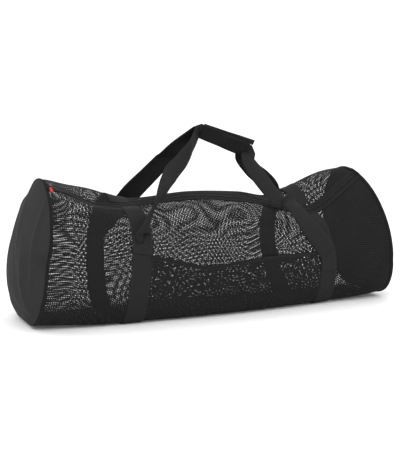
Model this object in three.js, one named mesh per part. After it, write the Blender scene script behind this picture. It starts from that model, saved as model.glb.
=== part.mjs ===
// Mesh gear bag: a long soft duffel of net with solid cloth end panels, a zip along its top,
// two webbing straps round it and two carrying handles held together by a wrapped grip.
// Millimetres. +X runs along the bag to its right end, -Y is its front and +Z is up.

import * as THREE from 'three';

// Sizes of the bag
const LENGTH = 954;         // between the seams of the two end panels
const HEIGHT = 358;         // of an end panel
const DEPTH = 332;          // of an end panel, front to back
const LEAN_LEFT = 21;       // of the left end's top, towards the middle
const LEAN_RIGHT = 33;      // of the right end's top, towards the middle
const LEAN_BEND = 1.6;      // how quickly the lean fades towards the middle
const PANEL_BULGE = 48;     // of an end panel, outwards
const PANEL_DOME = 2;       // 2 is round, more is flatter in the middle
const PANEL_PEAK = 0.32;    // height of the bulge's peak, as a share of the panel's
const PANEL_SEAM = 0.992;   // share of the way out to the rim where the flat seam starts
const PANEL_RINGS = [1, PANEL_SEAM, 0.9, 0.76, 0.58, 0.38, 0.18]; // shares of the way out

// Thickness of the cloth
const NET_WALL = 1.6;
const PANEL_WALL = 1.6;
const TAPE_WALL = 1.2;
const WEBBING_WALL = 2;
const GRIP_WALL = 1.6;
const CLOTH_GAP = 0.5;      // between two layers that are sewn together
const PANEL_LIP = 1.5;      // of an end panel, out past the net at the seam

// Zip
const ZIP_OPENING = 24;     // between the net's two edges
const ZIP_LAP = 7;          // of a tape over the net's edge
const COIL_WIDTH = 6;
const COIL_HEIGHT = 2.4;
const ZIP_END_SPACE = 4;    // between a tape's end and the seam
const SLIDER_LENGTH = 12;
const SLIDER_WIDTH = 12;
const SLIDER_HEIGHT = 4;
const SLIDER_TO_TAB = 1;
const PULL_LENGTH = 20;
const PULL_WIDTH = 10;
const PULL_WALL = 1.8;
const TAB_LENGTH = 6;
const TAB_BACK = 26;        // reach of a tab behind the zip's middle line
const TAB_FRONT = 12;       // reach of a tab in front of it

// Straps and handles
const WEBBING_WIDTH = 50;
const STRAP_FROM_LEFT = 225;  // from the left seam to the left strap's middle line
const STRAP_FROM_RIGHT = 199; // from the right strap's middle line to the right seam
const GRIP_LENGTH = 142;
const GRIP_ASIDE = 35;      // of the grip's middle, to the right of the middle between the straps
const GRIP_Z = 439;
const GRIP_SLOPE = -21.5;   // degrees, down to the right
const GRIP_TURN = 32;       // degrees, of the webbing's face about the grip's length
const GRIP_WEBBING = 0.75;  // width of the webbing inside the grip, as a share of its full width
const GRIP_LEAD = 9;        // straight webbing beyond each end of the grip
const FLAP_RISE = 13;
const FLAP_PAST = 11;       // of the flap's loose corner, past the end of the grip

// Pocket
const HEM_WIDTH = 10;
const HEM_WALL = 2;
const POCKET_WALL = 1.4;
const POCKET_STAND_OFF = 3; // of the pocket's upper edge from the net, half way along it

// The bag's shape. Each row is a section across it.
// along: place, from -1 at the left seam to 1 at the right seam
// crest: height, of HEIGHT. front, back: reach, of half DEPTH. foot: flat floor, of half DEPTH
// waist: height of the widest line, of HEIGHT. crestBack: crest behind the middle, of half DEPTH
// zipForward: zip in front of the middle, of half DEPTH. zipDip: hollow at the zip, of HEIGHT
// zipSpan: half width of that hollow, of half DEPTH. shoulder: 1 is round, more is flatter
// lift: of the underside from the floor, of HEIGHT
const SECTION_COLUMNS = [
  'along', 'crest', 'front', 'back', 'foot', 'waist', 'crestBack', 'zipForward', 'zipDip', 'zipSpan',
  'shoulder', 'lift',
];
const SECTIONS = [
  [-1.00, 1.000, 0.94, 1.00, 0.34, 0.51, 0.06, 0.42, 0.00, 0.50, 0.95, 0.019],
  [-0.86, 0.969, 0.96, 1.03, 0.46, 0.47, 0.17, 0.10, 0.055, 0.55, 1.06, 0.012],
  [-0.66, 0.910, 1.00, 1.05, 0.56, 0.46, 0.24, 0.10, 0.10, 0.55, 1.16, 0.000],
  [-0.46, 0.838, 1.02, 1.05, 0.60, 0.47, 0.02, 0.21, 0.03, 0.55, 1.10, 0.000],
  [-0.14, 0.866, 1.07, 1.05, 0.64, 0.43, -0.08, 0.335, 0.00, 0.50, 1.18, 0.000],
  [0.20, 0.844, 1.055, 1.05, 0.62, 0.43, 0.04, 0.38, 0.00, 0.50, 1.14, 0.000],
  [0.42, 0.800, 1.005, 1.05, 0.56, 0.44, 0.20, 0.33, 0.02, 0.55, 1.17, 0.000],
  [0.62, 0.866, 0.96, 1.04, 0.50, 0.44, 0.30, 0.32, 0.083, 0.55, 1.21, 0.000],
  [0.82, 0.968, 0.97, 1.02, 0.44, 0.43, 0.16, 0.30, 0.07, 0.55, 1.145, 0.008],
  [1.00, 1.000, 0.975, 1.00, 0.34, 0.45, 0.13, 0.24, 0.00, 0.50, 1.04, 0.022],
];

// Dents in the cloth, and swells where the depth is negative.
// around: share of the way round from the zip's front edge to its back edge.
// reachAlong: of LENGTH. reachAround: of the way round. depth: of DEPTH
const DENT_COLUMNS = ['along', 'around', 'reachAlong', 'reachAround', 'depth'];
const DENTS = [
  [-1.00, 0.185, 0.050, 0.040, 0.045],
  [-1.00, 0.862, 0.055, 0.065, 0.095],
  [-0.53, 0.095, 0.100, 0.070, -0.050],
  [0.58, 0.080, 0.080, 0.070, 0.050],
  [0.62, 0.220, 0.050, 0.100, 0.012],
  [0.10, 0.250, 0.200, 0.030, 0.010],
  [-0.20, 0.900, 0.180, 0.060, 0.012],
];

// Round from the zip: where a handle's end leaves its strap and where its stitching ends
const FRONT_LEFT_END = [0.120, 0.165];
const FRONT_RIGHT_END = [0.150, 0.195];
const BACK_LEFT_END = [0.235, 0.287];
const BACK_RIGHT_END = [0.235, 0.287];

// Free part of each handle limb, from where it leaves its strap (0) to the grip's end (1).
// across, outward, rise: shares of the way in X, Y and Z. wide: of the webbing's width.
// turn: degrees of the webbing's face about its length
const LIMB_COLUMNS = ['across', 'outward', 'rise', 'wide', 'turn'];
const LIMB_FRONT_LEFT = [
  [0.006, -0.130, 0.032, 0.99, 36],
  [0.158, 0.060, 0.242, 0.97, 61],
  [0.324, 0.240, 0.432, 0.94, 24],
  [0.478, 0.460, 0.551, 0.95, 2],
  [0.687, 0.654, 0.689, 0.92, 14],
  [0.846, 0.793, 0.834, 0.87, 37],
];
const LIMB_FRONT_RIGHT = [
  [0.160, -0.060, 0.103, 1.00, -4],
  [0.380, 0.010, 0.277, 1.00, 7],
  [0.641, 0.153, 0.496, 0.96, 37],
  [0.734, 0.442, 0.536, 0.94, 21],
  [0.962, 0.665, 0.749, 0.91, 6],
  [1.064, 0.869, 0.908, 0.85, 9],
];
const LIMB_BACK_LEFT = [
  [0.117, 0.000, 0.111, 1.00, 0],
  [0.256, 0.139, 0.255, 1.01, -6],
  [0.361, 0.339, 0.405, 1.04, -15],
  [0.508, 0.569, 0.571, 0.98, -7],
  [0.629, 0.783, 0.716, 0.95, 0],
  [0.727, 0.976, 0.834, 0.91, 20],
];
const LIMB_BACK_RIGHT = [
  [-0.120, 0.000, 0.160, 1.00, 0],
  [0.031, 0.186, 0.324, 1.00, -3],
  [0.216, 0.364, 0.447, 0.96, -7],
  [0.468, 0.543, 0.572, 0.94, -8],
  [0.737, 0.691, 0.697, 0.91, -12],
  [1.023, 0.825, 0.923, 0.89, -13],
];

// The pocket's upper edge, round from the zip. along: from the left strap (0) to the right one (1)
const POCKET_EDGE = [
  [0.00, 0.165],
  [0.15, 0.176],
  [0.30, 0.188],
  [0.50, 0.172],
  [0.75, 0.154],
  [1.00, 0.143],
];
const POCKET_BOTTOM = 0.29;

// Fineness of the facets
const PLAIN_CELLS = 30;     // round the net, between the zip's two tapes
const PLAIN_RINGS = 17;     // along the bag
const CURVE_STEPS = 48;     // points of a quarter of a section
const OUT_STEP = 4;         // reach of the slope that gives a section's outward direction
const CLEAR_SHARE = 0.6;    // least distance of two rings, as a share of the even distance
const LIMB_STEPS = 9;
const NARROW_CELL = 0.03;   // least height of a facet at the pocket's sloping edge, of a plain one

const webbingHalf = WEBBING_WIDTH / 2;
const strapLeft = STRAP_FROM_LEFT - LENGTH / 2;
const strapRight = LENGTH / 2 - STRAP_FROM_RIGHT;
const tapeEdge = ZIP_OPENING / 2 + ZIP_LAP;
// Distances from the zip's middle line: the line, the coil's edge, the net's and a tape's
const zipMarks = [0, COIL_WIDTH / 2 + CLOTH_GAP, ZIP_OPENING / 2, tapeEdge];
const zipCells = zipMarks.length - 1;
const stations = PLAIN_CELLS + 2 * zipCells;
const tabFrom = -LENGTH / 2 + CLOTH_GAP;
const tabTo = tabFrom + TAB_LENGTH;

function alongOf(x) {
  return x / (LENGTH / 2);
}

function named(columns, row) {
  return Object.fromEntries(columns.map((column, i) => [column, row[i]]));
}

// Smooth curve through the rows of a table whose first column rises
function smoothRow(table, at) {
  const last = table.length - 1;
  let i = 0;
  while (i < last - 1 && at > table[i + 1][0]) i += 1;
  const slope = (k, c) => {
    const low = Math.max(k - 1, 0);
    const high = Math.min(k + 1, last);
    return (table[high][c] - table[low][c]) / (table[high][0] - table[low][0]);
  };
  const step = table[i + 1][0] - table[i][0];
  const u = (at - table[i][0]) / step;
  return table[i].map((from, c) => {
    const to = table[i + 1][c];
    const start = slope(i, c) * step;
    const end = slope(i + 1, c) * step;
    return from * (2 * u ** 3 - 3 * u * u + 1) + start * (u ** 3 - 2 * u * u + u)
      + to * (3 * u * u - 2 * u ** 3) + end * (u ** 3 - u * u);
  });
}

// One side of a section, from the middle of the floor to the crest, outwards positive
function sectionSide(widest, crestOut, foot, waist, crest, shoulder) {
  const points = [[0, 0]];
  for (let i = 0; i <= CURVE_STEPS; i += 1) {
    const q = (i / CURVE_STEPS) * (Math.PI / 2);
    points.push([foot + (widest - foot) * Math.sin(q), waist * (1 - Math.cos(q))]);
  }
  for (let i = 1; i <= CURVE_STEPS; i += 1) {
    const q = (i / CURVE_STEPS) * (Math.PI / 2);
    const out = Math.max(Math.cos(q), 0) ** shoulder;
    const up = Math.sin(q) ** shoulder;
    points.push([crestOut + (widest - crestOut) * out, waist + (crest - waist) * up]);
  }
  return points;
}

// A section as a closed line of [y, z] from the crest down the front and up the back
function sectionLine(row) {
  const half = DEPTH / 2;
  const crest = HEIGHT * row.crest;
  const waist = HEIGHT * row.waist;
  const crestOut = half * row.crestBack;
  const foot = half * row.foot;
  const front = sectionSide(half * row.front, -crestOut, foot, waist, crest, row.shoulder);
  const back = sectionSide(half * row.back, crestOut, foot, waist, crest, row.shoulder);
  const line = [...front.reverse().map(([y, z]) => [-y, z]), ...back.slice(1)];
  const zipY = -half * row.zipForward;
  const span = half * row.zipSpan;
  return line.map(([y, z]) => {
    const off = Math.min(Math.abs(y - zipY) / span, 1);
    const dip = HEIGHT * row.zipDip * Math.cos(off * Math.PI / 2) ** 2;
    const raise = HEIGHT * Math.max(row.lift, 0) * (1 - z / waist) ** 2;
    return [y, z > waist ? z - dip : z + raise];
  });
}

// Arc lengths of the stations round a section: close together at the zip, even elsewhere
function stationArcs(perimeter) {
  const arcs = [...zipMarks];
  const cell = (perimeter - 2 * tapeEdge) / PLAIN_CELLS;
  for (let i = 1; i < PLAIN_CELLS; i += 1) arcs.push(tapeEdge + i * cell);
  for (const arc of zipMarks.slice(1).reverse()) arcs.push(perimeter - arc);
  return arcs;
}

// One ring of the bag: a point and an outward direction at each station
function makeRing(along) {
  const row = named(SECTION_COLUMNS, smoothRow(SECTIONS, along));
  const line = sectionLine(row);
  const sums = [0];
  for (let i = 1; i < line.length; i += 1) {
    sums.push(sums[i - 1] + Math.hypot(line[i][0] - line[i - 1][0], line[i][1] - line[i - 1][1]));
  }
  const perimeter = sums[sums.length - 1];
  const pointAt = (arc) => {
    const at = ((arc % perimeter) + perimeter) % perimeter;
    let i = 1;
    while (i < line.length - 1 && sums[i] < at) i += 1;
    const share = (at - sums[i - 1]) / (sums[i] - sums[i - 1]);
    return [0, 1].map((c) => line[i - 1][c] + share * (line[i][c] - line[i - 1][c]));
  };
  const zipY = -DEPTH / 2 * row.zipForward;
  let zipAt = 0;
  for (let i = 0; i < line.length - 1; i += 1) {
    const isTop = line[i][1] > HEIGHT * row.waist;
    if (isTop && line[i][0] >= zipY && line[i + 1][0] < zipY) {
      zipAt = sums[i] + (sums[i + 1] - sums[i]) * (line[i][0] - zipY) / (line[i][0] - line[i + 1][0]);
    }
  }
  const lean = LEAN_LEFT * Math.max(0, -along) ** LEAN_BEND - LEAN_RIGHT * Math.max(0, along) ** LEAN_BEND;
  return stationArcs(perimeter).map((arc) => {
    const [y, z] = pointAt(zipAt + arc);
    const before = pointAt(zipAt + arc - OUT_STEP);
    const after = pointAt(zipAt + arc + OUT_STEP);
    const out = new THREE.Vector3(0, before[1] - after[1], after[0] - before[0]).negate();
    const x = along * LENGTH / 2 + lean * (2 * z / HEIGHT - 1);
    return { point: new THREE.Vector3(x, y, z), out: out.normalize() };
  });
}

function pressDents(ring, along) {
  ring.forEach((place, station) => {
    const around = (station - zipCells) / PLAIN_CELLS;
    for (const dent of DENTS.map((row) => named(DENT_COLUMNS, row))) {
      const a = (along - dent.along) / 2 / dent.reachAlong;
      const b = (around - dent.around) / dent.reachAround;
      const depth = dent.depth * DEPTH * Math.exp(-(a * a + b * b));
      place.point.addScaledVector(place.out, -depth);
    }
  });
}

const strapEdges = [strapLeft, strapRight]
  .flatMap((x) => [x - webbingHalf, x + webbingHalf])
  .map(alongOf);

// Places of the rings: even ones, with those near the edge of another piece moved onto it.
// None lies between the edges of a strap, whose webbing is flat from edge to edge.
function ringPlaces() {
  const places = [];
  for (let i = 0; i <= PLAIN_RINGS; i += 1) places.push(-1 + 2 * i / PLAIN_RINGS);
  const space = CLEAR_SHARE / PLAIN_RINGS;
  const edges = [...strapEdges, alongOf(tabTo), alongOf(-tabTo)];
  const isStrap = (at) => [strapLeft, strapRight].some((x) => Math.abs(at - alongOf(x)) < alongOf(webbingHalf));
  const isNear = (at) => edges.some((edge) => Math.abs(edge - at) < space);
  const isClear = (at) => Math.abs(at) === 1 || !(isNear(at) || isStrap(at));
  return [...places.filter(isClear), ...edges].sort((a, b) => a - b);
}

const rings = ringPlaces().map((along) => {
  const ring = makeRing(along);
  pressDents(ring, along);
  return { along, ring };
});

// A point on the bag's faceted skin. around counts stations from the zip's middle line.
function skinPoint(along, around, lift) {
  let i = 0;
  while (i < rings.length - 2 && along > rings[i + 1].along) i += 1;
  const share = (along - rings[i].along) / (rings[i + 1].along - rings[i].along);
  const whole = Math.floor(around);
  const part = around - whole;
  const corner = (ring, station) => {
    const { point, out } = rings[ring].ring[((station % stations) + stations) % stations];
    return point.clone().addScaledVector(out, lift);
  };
  const near = corner(i, whole);
  const far = corner(i + 1, whole + 1);
  if (share >= part) {
    const side = corner(i + 1, whole);
    return near.lerp(side, share).addScaledVector(far.sub(side), part);
  }
  const side = corner(i, whole + 1);
  return near.lerp(side, part).addScaledVector(far.sub(side), share);
}

// Steps from one place to another with every facet line between them
function stepsBetween(from, to, lines) {
  const inside = lines.filter((at) => at > from + 1e-6 && at < to - 1e-6);
  return [from, ...inside, to];
}

function alongSteps(from, to) {
  return stepsBetween(from, to, rings.map((ring) => ring.along));
}

function aroundSteps(from, to) {
  const lines = [];
  for (let i = -stations; i <= 2 * stations; i += 1) lines.push(i);
  return stepsBetween(from, to, lines);
}

// Station of a share of the way round, and of a distance from the zip's middle line
function stationOfShare(share) {
  return zipCells + share * PLAIN_CELLS;
}

// Width of a plain facet, half way along the bag and half way down its front
const plainCell = (() => {
  const { ring } = rings[Math.floor(rings.length / 2)];
  const station = zipCells + Math.floor(PLAIN_CELLS / 4);
  return ring[station].point.distanceTo(ring[station + 1].point);
})();

function stationOfArc(arc) {
  const size = Math.abs(arc);
  let station = zipCells + (size - tapeEdge) / plainCell;
  for (let i = zipCells - 1; i >= 0; i -= 1) {
    if (size < zipMarks[i + 1]) station = i + (size - zipMarks[i]) / (zipMarks[i + 1] - zipMarks[i]);
  }
  return Math.sign(arc) * station;
}

// A closed body from rows of outer and inner points. Rows run along, points run round.
function bandGeometry(rows, isLoop = false) {
  const positions = [];
  const triangles = [];
  const count = rows[0].outer.length;
  for (const row of rows) {
    for (const point of [...row.outer, ...row.inner]) positions.push(point.x, point.y, point.z);
  }
  const outer = (r, k) => r * 2 * count + (k % count);
  const inner = (r, k) => r * 2 * count + count + (k % count);
  const quad = (a, b, c, d) => triangles.push(a, b, c, a, c, d);
  const cells = isLoop ? count : count - 1;
  for (let r = 0; r < rows.length - 1; r += 1) {
    for (let k = 0; k < cells; k += 1) {
      quad(outer(r, k), outer(r + 1, k), outer(r + 1, k + 1), outer(r, k + 1));
      quad(inner(r, k), inner(r, k + 1), inner(r + 1, k + 1), inner(r + 1, k));
    }
    if (!isLoop) {
      quad(outer(r, 0), inner(r, 0), inner(r + 1, 0), outer(r + 1, 0));
      quad(outer(r, cells), outer(r + 1, cells), inner(r + 1, cells), inner(r, cells));
    }
  }
  const end = rows.length - 1;
  for (let k = 0; k < cells; k += 1) {
    quad(outer(0, k), outer(0, k + 1), inner(0, k + 1), inner(0, k));
    quad(outer(end, k), inner(end, k), inner(end, k + 1), outer(end, k + 1));
  }
  return solidGeometry(positions, triangles);
}

// Geometry with its faces turned outwards
function solidGeometry(positions, triangles) {
  const corner = (i) => new THREE.Vector3().fromArray(positions, 3 * i);
  let volume = 0;
  for (let i = 0; i < triangles.length; i += 3) {
    const [a, b, c] = triangles.slice(i, i + 3).map(corner);
    volume += a.dot(b.cross(c));
  }
  const facing = [...triangles];
  if (volume < 0) facing.reverse();
  const geometry = new THREE.BufferGeometry();
  geometry.setAttribute('position', new THREE.Float32BufferAttribute(positions, 3));
  geometry.setIndex(facing);
  geometry.computeVertexNormals();
  return geometry;
}

// A layer of cloth on the skin. low and high are its two faces' heights above the net.
function skinLayer(alongs, aroundsAt, low, high) {
  const rows = alongs.map((along) => {
    const arounds = aroundsAt(along);
    return {
      outer: arounds.map((around) => skinPoint(along, around, high(along, around))),
      inner: arounds.map((around) => skinPoint(along, around, low(along, around))),
    };
  });
  return bandGeometry(rows);
}

function skinPatch(alongFrom, alongTo, aroundFrom, aroundTo, low, high) {
  const alongs = alongSteps(alongFrom, alongTo);
  const arounds = aroundSteps(aroundFrom, aroundTo);
  return skinLayer(alongs, () => arounds, () => low, () => high);
}

function material(color, roughness) {
  return new THREE.MeshStandardMaterial({ color, roughness, metalness: 0 });
}

const netCloth = material(0x1f1f20, 0.85);
const panelCloth = material(0x323233, 0.8);
const tapeCloth = material(0x2a2a2b, 0.8);
const webbing = material(0x2c2c2d, 0.75);
const coilPlastic = material(0x1c1c1d, 0.5);
const pullPlastic = material(0xb5383a, 0.55);

function namedMesh(name, geometry, look) {
  const mesh = new THREE.Mesh(geometry, look);
  mesh.name = name;
  return mesh;
}

function netBody() {
  const edge = stationOfArc(ZIP_OPENING / 2);
  return skinPatch(-1, 1, edge, stations - edge, -NET_WALL, 0);
}

// A dome whose rim follows the end ring. side is -1 at the left end and 1 at the right end.
function endPanel(side) {
  const { ring } = side < 0 ? rings[0] : rings[rings.length - 1];
  const rim = ring.map(({ point, out }) => point.clone().addScaledVector(out, PANEL_LIP));
  const box = new THREE.Box3().setFromPoints(rim);
  const centre = box.getCenter(new THREE.Vector3());
  centre.z = box.min.z + PANEL_PEAK * (box.max.z - box.min.z);
  const surface = (share, start) => rim.map((point) => {
    const place = centre.clone().lerp(point, share);
    place.x += side * (start + PANEL_BULGE * (1 - Math.min(share / PANEL_SEAM, 1) ** PANEL_DOME));
    return place;
  });
  const rows = PANEL_RINGS.map((share) => ({
    outer: surface(share, CLOTH_GAP + PANEL_WALL),
    inner: surface(share, CLOTH_GAP),
  }));
  return domeGeometry(rows, centre, side);
}

// The rings of a dome, closed by one point on each face
function domeGeometry(rows, centre, side) {
  const positions = [];
  const triangles = [];
  const count = rows[0].outer.length;
  for (const row of rows) {
    for (const point of [...row.outer, ...row.inner]) positions.push(point.x, point.y, point.z);
  }
  const outer = (r, k) => r * 2 * count + (k % count);
  const inner = (r, k) => r * 2 * count + count + (k % count);
  const outerTop = rows.length * 2 * count;
  const innerTop = outerTop + 1;
  const topX = centre.x + side * (CLOTH_GAP + PANEL_BULGE);
  positions.push(topX + side * PANEL_WALL, centre.y, centre.z);
  positions.push(topX, centre.y, centre.z);
  const end = rows.length - 1;
  for (let k = 0; k < count; k += 1) {
    for (let r = 0; r < end; r += 1) {
      triangles.push(outer(r, k), outer(r + 1, k), outer(r + 1, k + 1));
      triangles.push(outer(r, k), outer(r + 1, k + 1), outer(r, k + 1));
      triangles.push(inner(r, k), inner(r + 1, k + 1), inner(r + 1, k));
      triangles.push(inner(r, k), inner(r, k + 1), inner(r + 1, k + 1));
    }
    triangles.push(outer(0, k), outer(0, k + 1), inner(0, k + 1));
    triangles.push(outer(0, k), inner(0, k + 1), inner(0, k));
    triangles.push(outer(end, k), outerTop, outer(end, k + 1));
    triangles.push(inner(end, k), inner(end, k + 1), innerTop);
  }
  return solidGeometry(positions, triangles);
}

const zipFrom = alongOf(-LENGTH / 2 + ZIP_END_SPACE);
const zipTo = alongOf(LENGTH / 2 - ZIP_END_SPACE);
const tapeTop = CLOTH_GAP + TAPE_WALL;
const coilTop = CLOTH_GAP + COIL_HEIGHT;

// side is 1 for the front tape and -1 for the back one
function zipTape(side) {
  const coilEdge = 1;
  const [from, to] = side > 0 ? [coilEdge, zipCells] : [stations - zipCells, stations - coilEdge];
  return skinPatch(zipFrom, zipTo, from, to, CLOTH_GAP, tapeTop);
}

function zipCoil() {
  const half = stationOfArc(COIL_WIDTH / 2);
  const high = (along, around) => (Math.abs(around) < half / 2 ? coilTop : tapeTop);
  return skinLayer(alongSteps(zipFrom, zipTo), () => [-half, 0, half], () => CLOTH_GAP, high);
}

// A folded tab over the zip's end, above the coil
function zipTab(side) {
  const low = coilTop + CLOTH_GAP;
  const ends = side < 0 ? [tabFrom, tabTo] : [-tabTo, -tabFrom];
  const [from, to] = ends.map(alongOf);
  return skinPatch(from, to, stationOfArc(-TAB_BACK), stationOfArc(TAB_FRONT), low, low + TAPE_WALL);
}

const sliderFrom = tabTo + SLIDER_TO_TAB;
const sliderTo = sliderFrom + SLIDER_LENGTH;

function zipSlider() {
  const half = stationOfArc(SLIDER_WIDTH / 2);
  const low = coilTop + CLOTH_GAP;
  return skinPatch(alongOf(sliderFrom), alongOf(sliderTo), -half, half, low, low + SLIDER_HEIGHT);
}

// The tag on the slider, hanging down the front
function zipPull() {
  const middle = (sliderFrom + sliderTo) / 2;
  const [from, to] = [middle - PULL_WIDTH / 2, middle + PULL_WIDTH / 2].map(alongOf);
  const near = stationOfArc(SLIDER_WIDTH / 2 + CLOTH_GAP);
  const far = stationOfArc(SLIDER_WIDTH / 2 + PULL_LENGTH);
  const low = coilTop + CLOTH_GAP;
  return skinPatch(from, to, near, far, low, low + PULL_WALL);
}

// A strap runs from the zip's front tape under the bag to its back tape
function strap(x) {
  const [from, to] = [x - webbingHalf, x + webbingHalf].map(alongOf);
  const start = stationOfArc(tapeEdge + CLOTH_GAP);
  return skinPatch(from, to, start, stations - start, CLOTH_GAP, CLOTH_GAP + WEBBING_WALL);
}

const gripAxis = new THREE.Vector3(1, 0, 0)
  .applyAxisAngle(new THREE.Vector3(0, 1, 0), THREE.MathUtils.degToRad(-GRIP_SLOPE));
const gripMiddle = new THREE.Vector3((strapLeft + strapRight) / 2 + GRIP_ASIDE, 0, GRIP_Z);

// Direction across webbing that runs along a path: in the plane of X and Z, then turned
function acrossWebbing(direction, turn) {
  const across = new THREE.Vector3(direction.z, 0, -direction.x).normalize();
  return across.applyAxisAngle(direction.clone().normalize(), THREE.MathUtils.degToRad(turn));
}

// A cut through webbing: its two faces, from one edge to the other.
// side is 1 for the front handle and -1 for the back one, whose outer faces look away from each other.
function webbingCut(middle, direction, width, turn, side) {
  const across = acrossWebbing(direction, turn);
  const face = new THREE.Vector3().crossVectors(direction, across).normalize();
  const at = (edge, level) => middle.clone()
    .addScaledVector(across, edge * width / 2)
    .addScaledVector(face, level * WEBBING_WALL / 2);
  return { outer: [at(-1, -side), at(1, -side)], inner: [at(-1, side), at(1, side)] };
}

// Middle of one handle's webbing in the grip, at a distance from the grip's middle
function gripPoint(distance, side) {
  const across = acrossWebbing(gripAxis, GRIP_TURN);
  const face = new THREE.Vector3().crossVectors(gripAxis, across).normalize();
  const offset = -side * (WEBBING_WALL + CLOTH_GAP) / 2;
  return gripMiddle.clone().addScaledVector(gripAxis, distance).addScaledVector(face, offset);
}

// Rows of webbing stitched flat on a strap, from the stitching's end to where the handle leaves
function stitchedRows(x, side, ends) {
  const [from, to] = [x - webbingHalf, x + webbingHalf].map(alongOf);
  const low = 2 * CLOTH_GAP + WEBBING_WALL;
  const high = low + WEBBING_WALL;
  const steps = aroundSteps(...ends.map(stationOfShare)).reverse();
  return steps.map((step) => {
    const around = side > 0 ? step : stations - step;
    return {
      outer: [skinPoint(from, around, high), skinPoint(to, around, high)],
      inner: [skinPoint(from, around, low), skinPoint(to, around, low)],
    };
  });
}

function middleOf(row) {
  const sum = new THREE.Vector3();
  for (const point of [...row.outer, ...row.inner]) sum.add(point);
  return sum.divideScalar(4);
}

// Rows of one free limb, from its strap to the grip's end
function limbRows(table, start, end, endTurn, side) {
  const rows = table.map((row) => named(LIMB_COLUMNS, row));
  const way = end.clone().sub(start);
  const points = rows.map(({ across, outward, rise }) => new THREE.Vector3(
    start.x + across * way.x,
    start.y + outward * way.y,
    start.z + rise * way.z,
  ));
  const curve = new THREE.CatmullRomCurve3([start, ...points, end]);
  const wides = [1, ...rows.map((row) => row.wide), GRIP_WEBBING];
  const turns = [0, ...rows.map((row) => row.turn), endTurn];
  const mixed = (values, at) => {
    const i = Math.min(Math.floor(at), values.length - 2);
    return THREE.MathUtils.lerp(values[i], values[i + 1], at - i);
  };
  const cuts = [];
  for (let step = 1; step < LIMB_STEPS; step += 1) {
    const share = step / LIMB_STEPS;
    const at = share * (points.length + 1);
    const width = WEBBING_WIDTH * mixed(wides, at);
    const direction = curve.getTangent(share);
    cuts.push(webbingCut(curve.getPoint(share), direction, width, mixed(turns, at), side));
  }
  return cuts;
}

// The same cut seen from the other direction along the webbing
function swapEdges({ outer, inner }) {
  return { outer: [outer[1], outer[0]], inner: [inner[1], inner[0]] };
}

// A whole handle: stitched end, left limb, straight webbing in the grip, right limb, stitched end
function handle(side, leftEnd, rightEnd, leftLimb, rightLimb) {
  const left = stitchedRows(strapLeft, side, leftEnd);
  const right = stitchedRows(strapRight, side, rightEnd);
  const reach = GRIP_LENGTH / 2 + GRIP_LEAD;
  const width = WEBBING_WIDTH * GRIP_WEBBING;
  const gripLeft = gripPoint(-reach, side);
  const gripRight = gripPoint(reach, side);
  const inGrip = [gripLeft, gripPoint(0, side), gripRight]
    .map((point) => webbingCut(point, gripAxis, width, GRIP_TURN, side));
  const leftLimbRows = limbRows(leftLimb, middleOf(left.at(-1)), gripLeft, GRIP_TURN, side);
  const rightLimbRows = limbRows(rightLimb, middleOf(right.at(-1)), gripRight, -GRIP_TURN, side);
  const down = [...right, ...rightLimbRows].reverse().map(swapEdges);
  return bandGeometry([...left, ...leftLimbRows, ...inGrip, ...down]);
}

function frontHandle() {
  return handle(1, FRONT_LEFT_END, FRONT_RIGHT_END, LIMB_FRONT_LEFT, LIMB_FRONT_RIGHT);
}

function backHandle() {
  return handle(-1, BACK_LEFT_END, BACK_RIGHT_END, LIMB_BACK_LEFT, LIMB_BACK_RIGHT);
}

// Outline of the sleeve's section, as [across, face] pairs round a rectangle with round corners
function sleeveOutline(halfWidth, halfFace, corner) {
  const points = [];
  for (let quarter = 0; quarter < 4; quarter += 1) {
    const sideX = quarter === 0 || quarter === 3 ? 1 : -1;
    const sideY = quarter < 2 ? 1 : -1;
    for (let i = 0; i < 3; i += 1) {
      const angle = (quarter + i / 2) * Math.PI / 2;
      const x = sideX * (halfWidth - corner) + corner * Math.cos(angle);
      const y = sideY * (halfFace - corner) + corner * Math.sin(angle);
      points.push([x, y]);
    }
  }
  return points;
}

const sleeveHalfWidth = WEBBING_WIDTH * GRIP_WEBBING / 2 + CLOTH_GAP;
const sleeveHalfFace = WEBBING_WALL + CLOTH_GAP / 2 + CLOTH_GAP;
const sleeveCorner = 0.6 * sleeveHalfFace;

function gripFrame() {
  const across = acrossWebbing(gripAxis, GRIP_TURN);
  const face = new THREE.Vector3().crossVectors(gripAxis, across).normalize();
  return (along, side, level) => gripMiddle.clone()
    .addScaledVector(gripAxis, along)
    .addScaledVector(across, side)
    .addScaledVector(face, level);
}

function gripSleeve() {
  const place = gripFrame();
  const [halfWidth, halfFace, corner] = [sleeveHalfWidth, sleeveHalfFace, sleeveCorner];
  const inside = sleeveOutline(halfWidth, halfFace, corner);
  const outside = sleeveOutline(halfWidth + GRIP_WALL, halfFace + GRIP_WALL, corner + GRIP_WALL);
  const rows = [-1, -0.5, 0, 0.5, 1].map((share) => ({
    outer: outside.map(([side, level]) => place(share * GRIP_LENGTH / 2, side, level)),
    inner: inside.map(([side, level]) => place(share * GRIP_LENGTH / 2, side, level)),
  }));
  return bandGeometry(rows, true);
}

// The sleeve's loose edge, standing up from its upper side. Each row is a place along it,
// as a share of half the grip's length, and its height, as a share of the flap's.
const FLAP_ROWS = [
  [-1.0, 0.15],
  [-0.3, 0.45],
  [0.5, 0.80],
];

function gripFlap() {
  const place = gripFrame();
  const low = -(sleeveHalfWidth + GRIP_WALL + CLOTH_GAP);
  const level = sleeveHalfFace;
  const cut = (along, rise) => ({
    outer: [place(along, low, level), place(along, low - rise, level)],
    inner: [place(along, low, level - GRIP_WALL), place(along, low - rise, level - GRIP_WALL)],
  });
  const half = GRIP_LENGTH / 2;
  const rows = FLAP_ROWS.map(([share, rise]) => cut(share * half, rise * FLAP_RISE));
  return bandGeometry([...rows, cut(half + FLAP_PAST, FLAP_RISE)]);
}

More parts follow.
